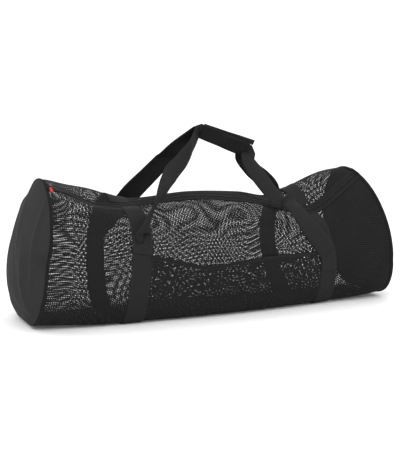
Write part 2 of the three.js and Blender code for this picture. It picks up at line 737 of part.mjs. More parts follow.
const pocketFrom = alongOf(strapLeft + webbingHalf + CLOTH_GAP);
const pocketTo = alongOf(strapRight - webbingHalf - CLOTH_GAP);

function pocketShare(along) {
  return (along - pocketFrom) / (pocketTo - pocketFrom);
}

function pocketEdge(along) {
  const [, share] = smoothRow(POCKET_EDGE, pocketShare(along));
  return stationOfShare(share);
}

// Height of the pocket's inner face above the net: most at its upper edge, half way along
function pocketLift(along, around) {
  const low = stationOfShare(POCKET_BOTTOM);
  const up = (low - around) / (low - pocketEdge(along));
  const out = Math.sin(Math.PI * pocketShare(along)) * Math.max(up, 0);
  return CLOTH_GAP + POCKET_STAND_OFF * out;
}

const hemStations = HEM_WIDTH / plainCell;
const hemGap = CLOTH_GAP / plainCell;

function pocketPanel() {
  const bottom = stationOfShare(POCKET_BOTTOM);
  const alongs = alongSteps(pocketFrom, pocketTo);
  const start = (along) => pocketEdge(along) + hemStations + hemGap;
  const lines = aroundSteps(Math.min(...alongs.map(start)), bottom).slice(1);
  const arounds = (along) => {
    const first = start(along);
    return [first, ...lines.map((line, i) => Math.max(line, first + (i + 1) * NARROW_CELL))];
  };
  const high = (along, around) => pocketLift(along, around) + POCKET_WALL;
  return skinLayer(alongs, arounds, pocketLift, high);
}

function pocketHem() {
  const alongs = alongSteps(pocketFrom, pocketTo);
  const arounds = (along) => [pocketEdge(along), pocketEdge(along) + hemStations];
  const high = (along, around) => pocketLift(along, around) + HEM_WALL;
  return skinLayer(alongs, arounds, pocketLift, high);
}

const bag = new THREE.Group();
bag.add(
  namedMesh('mesh_body', netBody(), netCloth),
  namedMesh('end_panel_left', endPanel(-1), panelCloth),
  namedMesh('end_panel_right', endPanel(1), panelCloth),
  namedMesh('zip_tape_front', zipTape(1), tapeCloth),
  namedMesh('zip_tape_back', zipTape(-1), tapeCloth),
  namedMesh('zip_coil', zipCoil(), coilPlastic),
  namedMesh('zip_slider', zipSlider(), coilPlastic),
  namedMesh('zip_pull', zipPull(), pullPlastic),
  namedMesh('zip_tab_left', zipTab(-1), tapeCloth),
  namedMesh('zip_tab_right', zipTab(1), tapeCloth),
  namedMesh('strap_left', strap(strapLeft), webbing),
  namedMesh('strap_right', strap(strapRight), webbing),
  namedMesh('handle_front', frontHandle(), webbing),
  namedMesh('handle_back', backHandle(), webbing),
  namedMesh('handle_grip', gripSleeve(), tapeCloth),
  namedMesh('grip_flap', gripFlap(), tapeCloth),
  namedMesh('pocket_panel', pocketPanel(), netCloth),
  namedMesh('pocket_hem', pocketHem(), tapeCloth),
);

// The origin is at the middle of the bag's underside
const whole = new THREE.Box3().setFromObject(bag);
const middle = whole.getCenter(new THREE.Vector3());
bag.position.set(-middle.x, -middle.y, -whole.min.z);

export default bag;
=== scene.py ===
"""Mesh gear bag on a pale floor: its net, end panels, zip, webbing, handles and pocket."""

import math

import bpy
import numpy as np
from mathutils import Matrix, Vector


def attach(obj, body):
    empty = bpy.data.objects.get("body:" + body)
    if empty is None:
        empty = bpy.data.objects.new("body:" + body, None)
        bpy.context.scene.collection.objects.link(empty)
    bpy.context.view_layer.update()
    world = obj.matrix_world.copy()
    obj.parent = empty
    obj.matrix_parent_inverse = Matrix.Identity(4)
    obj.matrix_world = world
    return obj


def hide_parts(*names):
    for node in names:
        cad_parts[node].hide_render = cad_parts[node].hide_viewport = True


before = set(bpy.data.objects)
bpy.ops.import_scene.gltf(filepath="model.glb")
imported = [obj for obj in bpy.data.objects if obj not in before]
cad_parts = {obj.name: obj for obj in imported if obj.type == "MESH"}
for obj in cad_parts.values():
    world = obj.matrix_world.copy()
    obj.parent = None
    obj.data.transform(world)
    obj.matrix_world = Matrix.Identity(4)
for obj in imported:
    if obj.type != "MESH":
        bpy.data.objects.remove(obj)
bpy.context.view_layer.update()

# Sizes of the bag in metres, as in the frame
LENGTH = 0.954  # between the two end seams
HEIGHT = 0.358  # of an end panel
DEPTH = 0.332  # of an end panel
LEAN_LEFT = 0.021  # of an end's top inwards, and of its foot outwards
LEAN_RIGHT = 0.033
LEAN_BEND = 1.6  # power by which the lean fades towards the middle
PANEL_BULGE = 0.048
PANEL_DOME = 2.0  # power by which the bulge fades towards the rim
PANEL_PEAK = 0.32  # height of the bulge's peak, as a share of the panel's
PANEL_SEAM = 0.992  # where the bulge begins, as a share of the way to the rim
PANEL_LIP = 0.0015  # of the panel's rim past the skin
CLOTH_GAP = 0.0005  # between two layers that are sewn together
ZIP_OPENING = 0.024  # of the net, under the two tapes
ZIP_LAP = 0.007  # of a tape over the net
ZIP_END_SPACE = 0.004
COIL_HEIGHT = 0.0024
WEBBING_WIDTH = 0.050
WEBBING_WALL = 0.002
STRAP_LEFT = -0.252  # middle of each strap, in X
STRAP_RIGHT = 0.278
GRIP_LENGTH = 0.142
GRIP_MIDDLE = Vector((0.048, 0.0, 0.439))
GRIP_SLOPE = -21.5  # degrees
GRIP_TURN = 32.0  # degrees about its own length
GRIP_WEBBING = 0.75  # share of the webbing's width in the grip
GRIP_LEAD = 0.009  # of straight webbing past each end of the grip
GRIP_WALL = 0.0016
FLAP_RISE = 0.013  # of the grip's loose edge, at its free corner
FLAP_REACH = 0.011  # past the grip's end
FLAP_OUT = 0.0032  # of the flap from the grip's middle, out of its face
FLAP_CURL = 0.004
FLAP_WALL = 0.0014
SHIFT = np.array([-0.001390, 0.004126, 0.0025])  # of the bag, to stand its box on the origin

# Net
NET_PITCH = 0.0056  # between the middles of two holes
NET_HOLE = 0.480  # width of a hole, as a share of the pitch
NET_RISE = 0.0004  # of the knots above the strands' edges
NET_JITTER = 0.06  # of a hole from its place, as a share of the pitch
NET_DRIFT = 0.0022  # of the rows of holes, in slow waves

# Camera, from the photograph
CAMERA_TURN = -25.0
CAMERA_RISE = 7.2
CAMERA_DISTANCE = 2.46
CAMERA_AIM = (-0.021, 0.0, 0.2157)
PHOTO_WIDTH = 400
PHOTO_HEIGHT = 451
FOCAL_PIXELS = 930

SEED = 11

SECTION_COLUMNS = [
    "along", "crest", "front", "back", "foot", "waist", "crest_back",
    "zip_forward", "zip_dip", "zip_span", "shoulder", "lift",
]
# Each row is a section across the bag: lengths are shares of HEIGHT and of half DEPTH
SECTIONS = np.array([
    [-1.00, 1.000, 0.94, 1.00, 0.34, 0.51, 0.06, 0.42, 0.00, 0.50, 0.95, 0.019],
    [-0.86, 0.969, 0.96, 1.03, 0.46, 0.47, 0.17, 0.10, 0.055, 0.55, 1.06, 0.012],
    [-0.66, 0.910, 1.00, 1.05, 0.56, 0.46, 0.24, 0.10, 0.10, 0.55, 1.16, 0.000],
    [-0.46, 0.838, 1.02, 1.05, 0.60, 0.47, 0.02, 0.21, 0.03, 0.55, 1.10, 0.000],
    [-0.14, 0.866, 1.07, 1.05, 0.64, 0.43, -0.08, 0.335, 0.00, 0.50, 1.18, 0.000],
    [0.20, 0.844, 1.055, 1.05, 0.62, 0.43, 0.04, 0.38, 0.00, 0.50, 1.14, 0.000],
    [0.42, 0.800, 1.005, 1.05, 0.56, 0.44, 0.20, 0.33, 0.02, 0.55, 1.17, 0.000],
    [0.62, 0.866, 0.96, 1.04, 0.50, 0.44, 0.30, 0.32, 0.083, 0.55, 1.21, 0.000],
    [0.82, 0.968, 0.97, 1.02, 0.44, 0.43, 0.16, 0.30, 0.07, 0.55, 1.145, 0.008],
    [1.00, 1.000, 0.975, 1.00, 0.34, 0.45, 0.13, 0.24, 0.00, 0.50, 1.04, 0.022],
])

# Broad dents: along, around, reach as a share of LENGTH and of the way round, depth as a share of DEPTH.
# along runs from -1 to 1, and around from 0 at the front tape to 1 at the back one.
DENTS = [
    (-1.00, 0.185, 0.050, 0.040, 0.045),
    (-1.00, 0.862, 0.055, 0.065, 0.095),
    (-0.53, 0.095, 0.100, 0.070, -0.050),
    (0.58, 0.080, 0.080, 0.070, 0.050),
    (0.62, 0.220, 0.050, 0.100, 0.012),
    (0.10, 0.250, 0.200, 0.030, 0.010),
    (-0.20, 0.900, 0.180, 0.060, 0.012),
]

# Narrow folds: along, around, angle in degrees from the bag's length, half length, half width, height
FOLDS = [
    (-0.90, 0.215, 20, 0.045, 0.010, -0.0035),
    (-0.92, 0.260, -15, 0.050, 0.009, -0.0030),
    (-0.88, 0.120, 80, 0.060, 0.012, 0.0020),
    (-0.70, 0.240, 8, 0.090, 0.014, -0.0022),
    (-0.66, 0.060, 12, 0.070, 0.012, -0.0020),
    (-0.42, 0.050, -20, 0.060, 0.012, -0.0025),
    (-0.44, 0.110, 30, 0.050, 0.010, -0.0020),
    (-0.10, 0.120, 4, 0.160, 0.016, 0.0022),
    (0.18, 0.085, -6, 0.120, 0.014, -0.0025),
    (0.30, 0.140, 10, 0.090, 0.013, 0.0020),
    (0.44, 0.060, 35, 0.060, 0.011, -0.0035),
    (0.48, 0.100, 50, 0.050, 0.010, 0.0025),
    (0.70, 0.080, -35, 0.070, 0.012, -0.0035),
    (0.72, 0.150, -20, 0.070, 0.013, -0.0030),
    (0.74, 0.215, -5, 0.060, 0.010, -0.0030),
    (0.86, 0.120, 60, 0.070, 0.014, 0.0025),
    (0.92, 0.240, 15, 0.045, 0.010, -0.0030),
    (-0.60, 0.880, 15, 0.080, 0.013, -0.0030),
    (-0.30, 0.860, -12, 0.110, 0.015, 0.0025),
    (0.25, 0.880, 10, 0.120, 0.014, -0.0028),
    (0.66, 0.870, -25, 0.080, 0.013, -0.0035),
    (-0.80, 0.760, -10, 0.080, 0.014, -0.0028),
    (0.82, 0.740, 12, 0.080, 0.014, -0.0028),
]

# Folds of an end panel: across and up in shares of DEPTH and HEIGHT, angle, half length, half width,
# and height in metres
PANEL_FOLDS = [
    (-0.30, 0.62, 90, 0.30, 0.030, 0.004),
    (-0.42, 0.46, 20, 0.10, 0.040, -0.010),
    (-0.20, 0.30, 70, 0.22, 0.040, 0.005),
    (0.05, 0.75, 75, 0.25, 0.050, 0.003),
    (-0.10, 0.12, 10, 0.25, 0.035, -0.004),
    (0.25, 0.40, 100, 0.25, 0.050, 0.003),
    (0.02, 0.52, 60, 0.20, 0.030, -0.002),
]

# Free limbs of the handles, from the strap to the grip. Shares of the way in X, Y and Z, share of the
# webbing's width, and degrees of turn about its length.
LIMB_FRONT_LEFT = [
    (0.006, -0.130, 0.032, 0.99, 36),
    (0.158, 0.060, 0.242, 0.97, 61),
    (0.324, 0.240, 0.432, 0.94, 24),
    (0.478, 0.460, 0.551, 0.95, 2),
    (0.687, 0.654, 0.689, 0.92, 14),
    (0.846, 0.793, 0.834, 0.87, 37),
]
LIMB_FRONT_RIGHT = [
    (0.160, -0.060, 0.103, 1.00, -4),
    (0.380, 0.010, 0.277, 1.00, 7),
    (0.641, 0.153, 0.496, 0.96, 37),
    (0.734, 0.442, 0.536, 0.94, 21),
    (0.962, 0.665, 0.749, 0.91, 6),
    (1.064, 0.869, 0.908, 0.85, 9),
]
LIMB_BACK_LEFT = [
    (0.117, 0.000, 0.111, 1.00, 0),
    (0.256, 0.139, 0.255, 1.01, -6),
    (0.361, 0.339, 0.405, 1.04, -15),
    (0.508, 0.569, 0.571, 0.98, -7),
    (0.629, 0.783, 0.716, 0.95, 0),
    (0.727, 0.976, 0.834, 0.91, 20),
]
LIMB_BACK_RIGHT = [
    (-0.120, 0.000, 0.160, 1.00, 0),
    (0.031, 0.186, 0.324, 1.00, -3),
    (0.216, 0.364, 0.447, 0.96, -7),
    (0.468, 0.543, 0.572, 0.94, -8),
    (0.737, 0.691, 0.697, 0.91, -12),
    (1.023, 0.825, 0.923, 0.89, -13),
]
LIMB_ROWS = 56
LIMB_CUP = 0.004  # of the webbing across its width, at the middle of a limb
STITCHED_ROWS = 26
GRIP_ROWS = 24

# Name, side, and for the left and right strap the shares of the way round from the zip where the handle
# leaves it and where its stitching ends, then both limbs
HANDLES = [
    ("handle_front", 1, (0.120, 0.165), (0.150, 0.195), LIMB_FRONT_LEFT, LIMB_FRONT_RIGHT),
    ("handle_back", -1, (0.235, 0.287), (0.235, 0.287), LIMB_BACK_LEFT, LIMB_BACK_RIGHT),
]

# The pocket's upper edge: share of the way between the straps, and round from the zip
POCKET_EDGE = np.array([
    (0.00, 0.165),
    (0.15, 0.176),
    (0.30, 0.188),
    (0.50, 0.172),
    (0.75, 0.154),
    (1.00, 0.143),
])
POCKET_BOTTOM = 0.29
POCKET_RISE = 0.0016  # of its net over the bag's
POCKET_PUFF = 0.0030  # of its upper edge, midway between the straps
POCKET_LAP = 0.004  # under each strap
POCKET_FOOT = 0.006  # past its bottom
HEM_WIDTH = 0.010

# Sections of the sewn bands, as distances across each band and heights over the skin
HEM_PROFILE = [
    (0.0000, 0.0001), (0.0006, 0.0022), (0.0024, 0.0027), (0.0050, 0.0022),
    (0.0076, 0.0026), (0.0092, 0.0021), (0.0100, 0.0001), (0.0050, -0.0002),
]
BINDING_PROFILE = [
    (-0.0005, -0.0002), (-0.0009, 0.0009), (-0.0003, 0.0018), (0.0012, 0.0021), (0.0040, 0.0018),
    (0.0068, 0.0017), (0.0080, 0.0012), (0.0082, 0.0004), (0.0040, 0.0002),
]
TAPE_PROFILE = [
    (0.0030, 0.0013), (0.0050, 0.0016), (0.0078, 0.0016), (0.0088, 0.0024), (0.0102, 0.0027),
    (0.0120, 0.0025), (0.0150, 0.0028), (0.0176, 0.0026), (0.0190, 0.0022), (0.0198, 0.0008),
]
TAPE_PLY = 0.0011  # of the tape's cloth
TOOTH_PROFILE = [
    (-0.0006, 0.0006), (-0.0006, 0.0022), (0.0008, 0.0029),
    (0.0026, 0.0026), (0.0034, 0.0012), (0.0020, 0.0004),
]
TOOTH_PITCH = 0.0026
TOOTH_HALF = 0.36  # half a tooth's length, as a share of the pitch
TOOTH_SHIFT = 0.25  # of each row of teeth, as a share of the pitch

# Zip ends, as lengths along the zip and reaches across it from its middle, the front ones above zero
TAB_LENGTH = 0.006
TAB_REACH = (-0.026, 0.012)
TAB_WALL = 0.0018
SLIDER_SPACE = 0.001  # between tab and slider
SLIDER_LENGTH = 0.012
SLIDER_REACH = (-0.006, 0.006)
SLIDER_RISE = 0.004
PULL_HALF = 0.005
PULL_REACH = (0.0065, 0.026)

TAPE_EDGE = ZIP_OPENING / 2 + ZIP_LAP
WEBBING_HALF = WEBBING_WIDTH / 2
RIM_POINTS = 360  # round an end panel and its binding


# The skin of the bag

def fold_shape(a, b, angle, half_length, half_width):
    """Height from 0 to 1 of a fold, at steps a and b from its middle. angle turns its length from a to b."""
    c, s = math.cos(math.radians(angle)), math.sin(math.radians(angle))
    return np.exp(-(((a * c + b * s) / half_length) ** 2) - ((b * c - a * s) / half_width) ** 2)


def smooth_row(table, at):
    """Row of a table at a place in its first column, on a smooth curve through the rows."""
    places = table[:, 0]
    last = len(table) - 1
    i = int(np.clip(np.searchsorted(places, at) - 1, 0, last - 1))

    def slope(k):
        low, high = max(k - 1, 0), min(k + 1, last)
        return (table[high] - table[low]) / (places[high] - places[low])

    step = places[i + 1] - places[i]
    u = (at - places[i]) / step
    start = table[i] * (2 * u**3 - 3 * u * u + 1) + slope(i) * step * (u**3 - 2 * u * u + u)
    end = table[i + 1] * (3 * u * u - 2 * u**3) + slope(i + 1) * step * (u**3 - u * u)
    return start + end


def section_side(widest, crest_out, row):
    """One side of a section as outward and upward distances, from the floor's middle to the crest."""
    q = np.linspace(0, math.pi / 2, 90)
    foot = DEPTH / 2 * row["foot"]
    waist = HEIGHT * row["waist"]
    crest = HEIGHT * row["crest"]
    low_y = foot + (widest - foot) * np.sin(q)
    low_z = waist * (1 - np.cos(q))
    high_y = crest_out + (widest - crest_out) * np.clip(np.cos(q), 0, 1) ** row["shoulder"]
    high_z = waist + (crest - waist) * np.sin(q) ** row["shoulder"]
    y = np.concatenate([[0], low_y, high_y[1:]])
    z = np.concatenate([[0], low_z, high_z[1:]])
    return y, z


def make_ring(along, count):
    """Ring of the bag at a place along it, even by length from the zip's middle, and its length."""
    row = dict(zip(SECTION_COLUMNS, smooth_row(SECTIONS, along)))
    half = DEPTH / 2
    crest_out = half * row["crest_back"]
    front_y, front_z = section_side(half * row["front"], -crest_out, row)
    back_y, back_z = section_side(half * row["back"], crest_out, row)
    y = np.concatenate([-front_y[::-1], back_y[1:]])
    z = np.concatenate([front_z[::-1], back_z[1:]])
    zip_y = -half * row["zip_forward"]
    upper = z > HEIGHT * row["waist"]
    off = np.clip(np.abs(y - zip_y) / (half * row["zip_span"]), 0, 1)
    raised = z + HEIGHT * max(row["lift"], 0) * (1 - z / (HEIGHT * row["waist"])) ** 2
    z = np.where(upper, z - HEIGHT * row["zip_dip"] * np.cos(off * math.pi / 2) ** 2, raised)
    sums = np.concatenate([[0], np.cumsum(np.hypot(np.diff(y), np.diff(z)))])
    perimeter = sums[-1]
    crossing = np.where(upper[:-1] & (y[:-1] >= zip_y) & (y[1:] < zip_y))[0]
    start = 0.0
    if len(crossing):
        k = crossing[-1]
        start = sums[k] + (sums[k + 1] - sums[k]) * (y[k] - zip_y) / (y[k] - y[k + 1])
    at = (start + np.arange(count) / count * perimeter) % perimeter
    ring_y = np.interp(at, sums, y)
    ring_z = np.interp(at, sums, z)
    lean = LEAN_LEFT * max(0, -along) ** LEAN_BEND - LEAN_RIGHT * max(0, along) ** LEAN_BEND
    ring_x = along * LENGTH / 2 + lean * (2 * ring_z / HEIGHT - 1)
    return np.stack([ring_x, ring_y, ring_z], 1), perimeter


class Skin:
    """The net's surface on a fine grid, and points on it by place along the bag and length round it."""

    RINGS = 320
    STATIONS = 720
    ZIP_HOLD = 0.05  # how far from the zip its tapes hold dents and folds flat

    def __init__(self):
        self.alongs = np.linspace(-1, 1, self.RINGS)
        rings = [make_ring(along, self.STATIONS) for along in self.alongs]
        self.points = np.array([ring for ring, _ in rings])
        self.perimeters = np.array([perimeter for _, perimeter in rings])
        self.press(self.outwards())
        self.normals = self.outwards()

    def outwards(self):
        """Unit normals of the grid."""
        ahead = np.gradient(self.points, axis=0)
        around = np.roll(self.points, -1, axis=1) - np.roll(self.points, 1, axis=1)
        normal = np.cross(around, ahead)
        return normal / np.linalg.norm(normal, axis=2, keepdims=True)

    def press(self, normals):
        """Presses the dents and folds into the grid."""
        along = self.alongs[:, None]
        arc = np.arange(self.STATIONS)[None, :] / self.STATIONS * self.perimeters[:, None]
        plain = self.perimeters[:, None] - 2 * TAPE_EDGE
        around = (arc - TAPE_EDGE) / plain
        lift = np.zeros_like(around)
        for at, side, reach, reach_around, depth in DENTS:
            a = (along - at) / 2 / reach
            b = (around - side) / reach_around
            lift -= depth * DEPTH * np.exp(-(a * a + b * b))
        for at, side, angle, long, wide, height in FOLDS:
            a = (along - at) * LENGTH / 2
            b = (around - side) * plain
            lift += height * fold_shape(a, b, angle, long, wide)
        from_zip = np.minimum(arc, self.perimeters[:, None] - arc)
        free = np.clip(from_zip / self.ZIP_HOLD, 0, 1)
        self.points += normals * (lift * (0.25 + 0.75 * free))[:, :, None]

    def perimeter(self, along):
        """Length round the bag. It stays the same past the ends."""
        return np.interp(along, self.alongs, self.perimeters)

    def at(self, along, arc, lift=0.0):
        """Points at places along the bag and lengths round it from the zip's middle, lifted off it."""
        along, arc, lift = np.broadcast_arrays(*(np.asarray(v, float) for v in (along, arc, lift)))
        row = np.clip((along + 1) / 2 * (self.RINGS - 1), 0, self.RINGS - 1.0001)
        column = (arc / self.perimeter(along)) % 1 * self.STATIONS
        i, j = row.astype(int), column.astype(int)
        u, v = (row - i)[..., None], (column - j)[..., None]
        j = j % self.STATIONS
        k = (j + 1) % self.STATIONS

        def mixed(grid):
            near = grid[i, j] * (1 - v) + grid[i, k] * v
            far = grid[i + 1, j] * (1 - v) + grid[i + 1, k] * v
            return near * (1 - u) + far * u

        return mixed(self.points) + mixed(self.normals) * lift[..., None]

    def arc_of_share(self, along, share):
        return TAPE_EDGE + share * (self.perimeter(along) - 2 * TAPE_EDGE)


skin = Skin()


def along_of(x):
    """Place along the bag, from -1 to 1, of a distance in X."""
    return x / (LENGTH / 2)


# Making meshes

def new_object(name, data):
    """An object of the scene."""
    made = bpy.data.objects.new(name, data)
    bpy.context.scene.collection.objects.link(made)
    return made


def make_piece(name, points, faces, uvs, material, replaces):
    """A smooth piece from points and equal-sided faces, moved onto the frame, riding on the root."""
    faces = np.asarray(faces, np.int32)
    corners = faces.shape[1]
    mesh = bpy.data.meshes.new(name)
    mesh.vertices.add(len(points))
    mesh.vertices.foreach_set("co", (np.asarray(points, float) + SHIFT).astype(np.float32).ravel())
    mesh.loops.add(faces.size)
    mesh.loops.foreach_set("vertex_index", faces.ravel())
    mesh.polygons.add(len(faces))
    mesh.polygons.foreach_set("loop_start", np.arange(0, faces.size, corners, dtype=np.int32))
    mesh.polygons.foreach_set("use_smooth", np.ones(len(faces), bool))
    if uvs is not None:
        layer = mesh.uv_layers.new(name="cloth")
        layer.data.foreach_set("uv", np.asarray(uvs, np.float32)[faces.ravel()].ravel())
    mesh.update(calc_edges=True)
    mesh.validate()
    mesh.materials.append(material)
    piece = new_object(name, mesh)
    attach(piece, "root")
    if replaces:
        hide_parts(*replaces)
    return piece


def grid_faces(rows, columns, first=0, wrap=False):
    """Quads of a grid of points, row by row. wrap joins the last column to the first."""
    i = np.arange(rows - 1)[:, None]
    j = np.arange(columns if wrap else columns - 1)[None, :]
    k = (j + 1) % columns
    a = first + i * columns + j
    b = first + (i + 1) * columns + j
    c = first + (i + 1) * columns + k
    d = first + i * columns + k
    return np.stack([a + 0 * k, b + 0 * k, c + 0 * a, d + 0 * a], -1).reshape(-1, 4)


def ribbon_faces(rows, columns):
    """Quads of a closed ribbon whose rows are loops of points, with both ends closed by quads."""
    sides = grid_faces(rows, columns, wrap=True)
    half = columns // 2
    k = np.arange(half - 1)
    cap = np.stack([k, k + 1, columns - 2 - k, columns - 1 - k], -1)
    end = (rows - 1) * columns
    return np.concatenate([sides, cap[:, ::-1], cap + end])


# Webbing, as rows of cuts across it. Each cut is a loop: the outer face, then the inner one.
WEBBING_CUT = 9  # points on each face


def webbing_loops(outer, inner):
    """Loops of points from the two faces of a ribbon: arrays of rows, points across and XYZ."""
    return np.concatenate([outer, inner[:, ::-1]], axis=1)


def uv_grid(across, long):
    """Cloth coordinates for rows of points, from those of the columns and of the rows."""
    return np.stack(np.broadcast_arrays(across[None, :], long[:, None]), -1).reshape(-1, 2)


def ribbon_uvs(loops, width):
    """Cloth coordinates in metres for each point of a ribbon's loops."""
    middle = loops.mean(axis=1)
    long = np.concatenate([[0], np.cumsum(np.linalg.norm(np.diff(middle, axis=0), axis=1))])
    count = loops.shape[1] // 2
    across = np.linspace(0, width, count)
    return uv_grid(np.concatenate([across, across[::-1]]), long)


def even_uvs(rows, columns, width, length):
    """Evenly spread cloth coordinates for rows of points."""
    return uv_grid(np.linspace(0, width, columns), np.linspace(0, length, rows))


def rounded(count, wall):
    """Heights of a ribbon's two faces from its middle, thinner at the edges."""
    edge = np.abs(np.linspace(-1, 1, count))
    return wall / 2 * np.sqrt(np.clip(1 - np.clip((edge - 0.9) / 0.1, 0, 1) ** 2, 0.08, 1))


def make_band(name, loops, width, material, replaces, flip=False):
    """A closed ribbon of cloth or webbing from its loops. flip turns its faces round."""
    faces = ribbon_faces(*loops.shape[:2])
    if flip:
        faces = faces[:, ::-1]
    return make_piece(name, loops.reshape(-1, 3), faces, ribbon_uvs(loops, width), material, replaces)


def skin_webbing(x, arcs, lift):
    """Rows of cuts of webbing lying on the skin, at lengths round it."""
    across = np.linspace(along_of(x - WEBBING_HALF), along_of(x + WEBBING_HALF), WEBBING_CUT)
    wall = rounded(WEBBING_CUT, WEBBING_WALL)[None, :]
    grid_along = np.broadcast_to(across[None, :], (len(arcs), WEBBING_CUT))
    grid_arc = np.broadcast_to(np.asarray(arcs)[:, None], grid_along.shape)
    outer = skin.at(grid_along, grid_arc, lift + WEBBING_WALL / 2 + wall)
    inner = skin.at(grid_along, grid_arc, lift + WEBBING_WALL / 2 - wall)
    return outer, inner


# Materials

def new_material(name, color, roughness):
    """A material with its shader, and the nodes that later steps add to."""
    material = bpy.data.materials.new(name)
    material.use_nodes = True
    nodes = material.node_tree.nodes
    shader = nodes["Principled BSDF"]
    shader.inputs["Base Color"].default_value = (*color, 1)
    shader.inputs["Roughness"].default_value = roughness
    return material, material.node_tree, shader


def add(tree, kind, **values):
    """A new node, with values set on its sockets or, failing those, on itself."""
    node = tree.nodes.new(kind)
    for key, value in values.items():
        if key in node.inputs:
            node.inputs[key].default_value = value
        else:
            setattr(node, key, value)
    return node


def math_node(tree, operation, *values):
    """Output of a sum on sockets or numbers."""
    node = tree.nodes.new("ShaderNodeMath")
    node.operation = operation
    for index, value in enumerate(values):
        if isinstance(value, (int, float)):
            node.inputs[index].default_value = value
        else:
            tree.links.new(value, node.inputs[index])
    return node.outputs[0]


def plus(tree, value, other, share):
    """A value with a share of another added."""
    return math_node(tree, "ADD", value, math_node(tree, "MULTIPLY", other, share))


def uv_parts(tree):
    """The two cloth coordinates of a piece, in metres."""
    uv = add(tree, "ShaderNodeUVMap", uv_map="cloth")
    parts = add(tree, "ShaderNodeSeparateXYZ")
    tree.links.new(uv.outputs[0], parts.inputs[0])
    return parts.outputs[0], parts.outputs[1]


def wave(tree, coordinate, pitch):
    """From 0 to 1 and back along a coordinate, once in each pitch."""
    turns = math_node(tree, "MULTIPLY", coordinate, 2 * math.pi / pitch)
    return math_node(tree, "MULTIPLY_ADD", math_node(tree, "SINE", turns), 0.5, 0.5)


def mottle(tree, scale, detail=4.0):
    """Soft uneven noise in the object's own space."""
    place = add(tree, "ShaderNodeTexCoord")
    noise = add(tree, "ShaderNodeTexNoise", Scale=scale, Detail=detail, Roughness=0.6)
    tree.links.new(place.outputs["Object"], noise.inputs["Vector"])
    return noise.outputs["Fac"]


def colour_between(tree, factor, low, high):
    """A colour from low to high, as the factor goes from 0 to 1."""
    ramp = add(tree, "ShaderNodeValToRGB")
    ramp.color_ramp.elements[0].color = (*low, 1)
    ramp.color_ramp.elements[1].color = (*high, 1)
    tree.links.new(factor, ramp.inputs[0])
    return ramp.outputs[0]


def bump(tree, shader, height, strength, distance):
    node = add(tree, "ShaderNodeBump", Strength=strength, Distance=distance)
    tree.links.new(height, node.inputs["Height"])
    tree.links.new(node.outputs[0], shader.inputs["Normal"])


def paint(tree, shader, factor, low, high, specular):
    """Colour from low to high by a factor, and how much the surface reflects."""
    tree.links.new(colour_between(tree, factor, low, high), shader.inputs["Base Color"])
    shader.inputs["Specular IOR Level"].default_value = specular


def net_material(name, low, high):
    """Coated net: dark strands with a faint gloss."""
    material, tree, shader = new_material(name, low, 0.62)
    paint(tree, shader, mottle(tree, 260), low, high, 0.10)
    bump(tree, shader, mottle(tree, 1500, 2.0), 0.25, 0.0004)
    return material


def woven_material(name, low, high, pitch, strength=0.35, roughness=0.78):
    """Plain woven cloth: threads one over the other, with uneven colour."""
    material, tree, shader = new_material(name, low, roughness)
    across, along = uv_parts(tree)
    warp = wave(tree, across, pitch)
    weft = wave(tree, along, pitch)
    weave = math_node(tree, "MAXIMUM", math_node(tree, "MULTIPLY", warp, warp),
                      math_node(tree, "SUBTRACT", 1.0, weft))
    patch = math_node(tree, "MULTIPLY_ADD", mottle(tree, 22, 5.0), 0.75, 0.5)
    paint(tree, shader, plus(tree, patch, weave, 0.22), low, high, 0.08)
    bump(tree, shader, weave, strength, pitch * 0.5)
    return material


RIB_PITCH = 0.0031
PICK_PITCH = 0.0016
SELVEDGE = 0.0028


def webbing_material():
    """Ribbed webbing: ribs along it, fine picks across and a selvedge at each edge."""
    low, high = (0.0045, 0.0045, 0.0047), (0.0150, 0.0150, 0.0155)
    material, tree, shader = new_material("webbing", low, 0.7)
    across, along = uv_parts(tree)
    ribs = wave(tree, across, RIB_PITCH)
    picks = wave(tree, plus(tree, along, ribs, 0.0007), PICK_PITCH)
    weave = plus(tree, math_node(tree, "MULTIPLY", ribs, 0.65), picks, 0.35)
    edge = math_node(tree, "ABSOLUTE", math_node(tree, "SUBTRACT", across, WEBBING_HALF))
    selvedge = math_node(tree, "GREATER_THAN", edge, WEBBING_HALF - SELVEDGE)
    shade = plus(tree, math_node(tree, "MULTIPLY_ADD", weave, 0.5, 0.5), mottle(tree, 30, 5.0), 0.35)
    paint(tree, shader, plus(tree, shade, selvedge, 0.25), low, high, 0.09)
    bump(tree, shader, weave, 0.6, 0.0006)
    return material


def plain_material(name, color, roughness, specular):
    """Moulded or tight material with a fine uneven surface."""
    material, tree, shader = new_material(name, color, roughness)
    darker = tuple(0.7 * c for c in color)
    paint(tree, shader, mottle(tree, 180), darker, color, specular)
    bump(tree, shader, mottle(tree, 900, 2.0), 0.12, 0.0003)
    return material


NET = net_material("net", (0.0065, 0.0065, 0.0067), (0.016, 0.016, 0.0165))
PANEL = woven_material("panel_cloth", (0.0095, 0.0095, 0.0098), (0.022, 0.022, 0.0225), 0.0011)
TAPE = woven_material("tape_cloth", (0.0045, 0.0045, 0.0047), (0.0125, 0.0125, 0.013), 0.0009, 0.5)
SEAM = woven_material("seam_cloth", (0.003, 0.003, 0.0031), (0.009, 0.009, 0.0093), 0.0012, 0.5)
WEBBING = webbing_material()
THREAD = plain_material("thread", (0.036, 0.036, 0.037), 0.6, 0.15)
COIL = plain_material("zip_plastic", (0.006, 0.006, 0.0063), 0.42, 0.2)
RED = woven_material("red_tag", (0.28, 0.014, 0.016), (0.46, 0.032, 0.033), 0.0008, 0.3, 0.6)


# Net

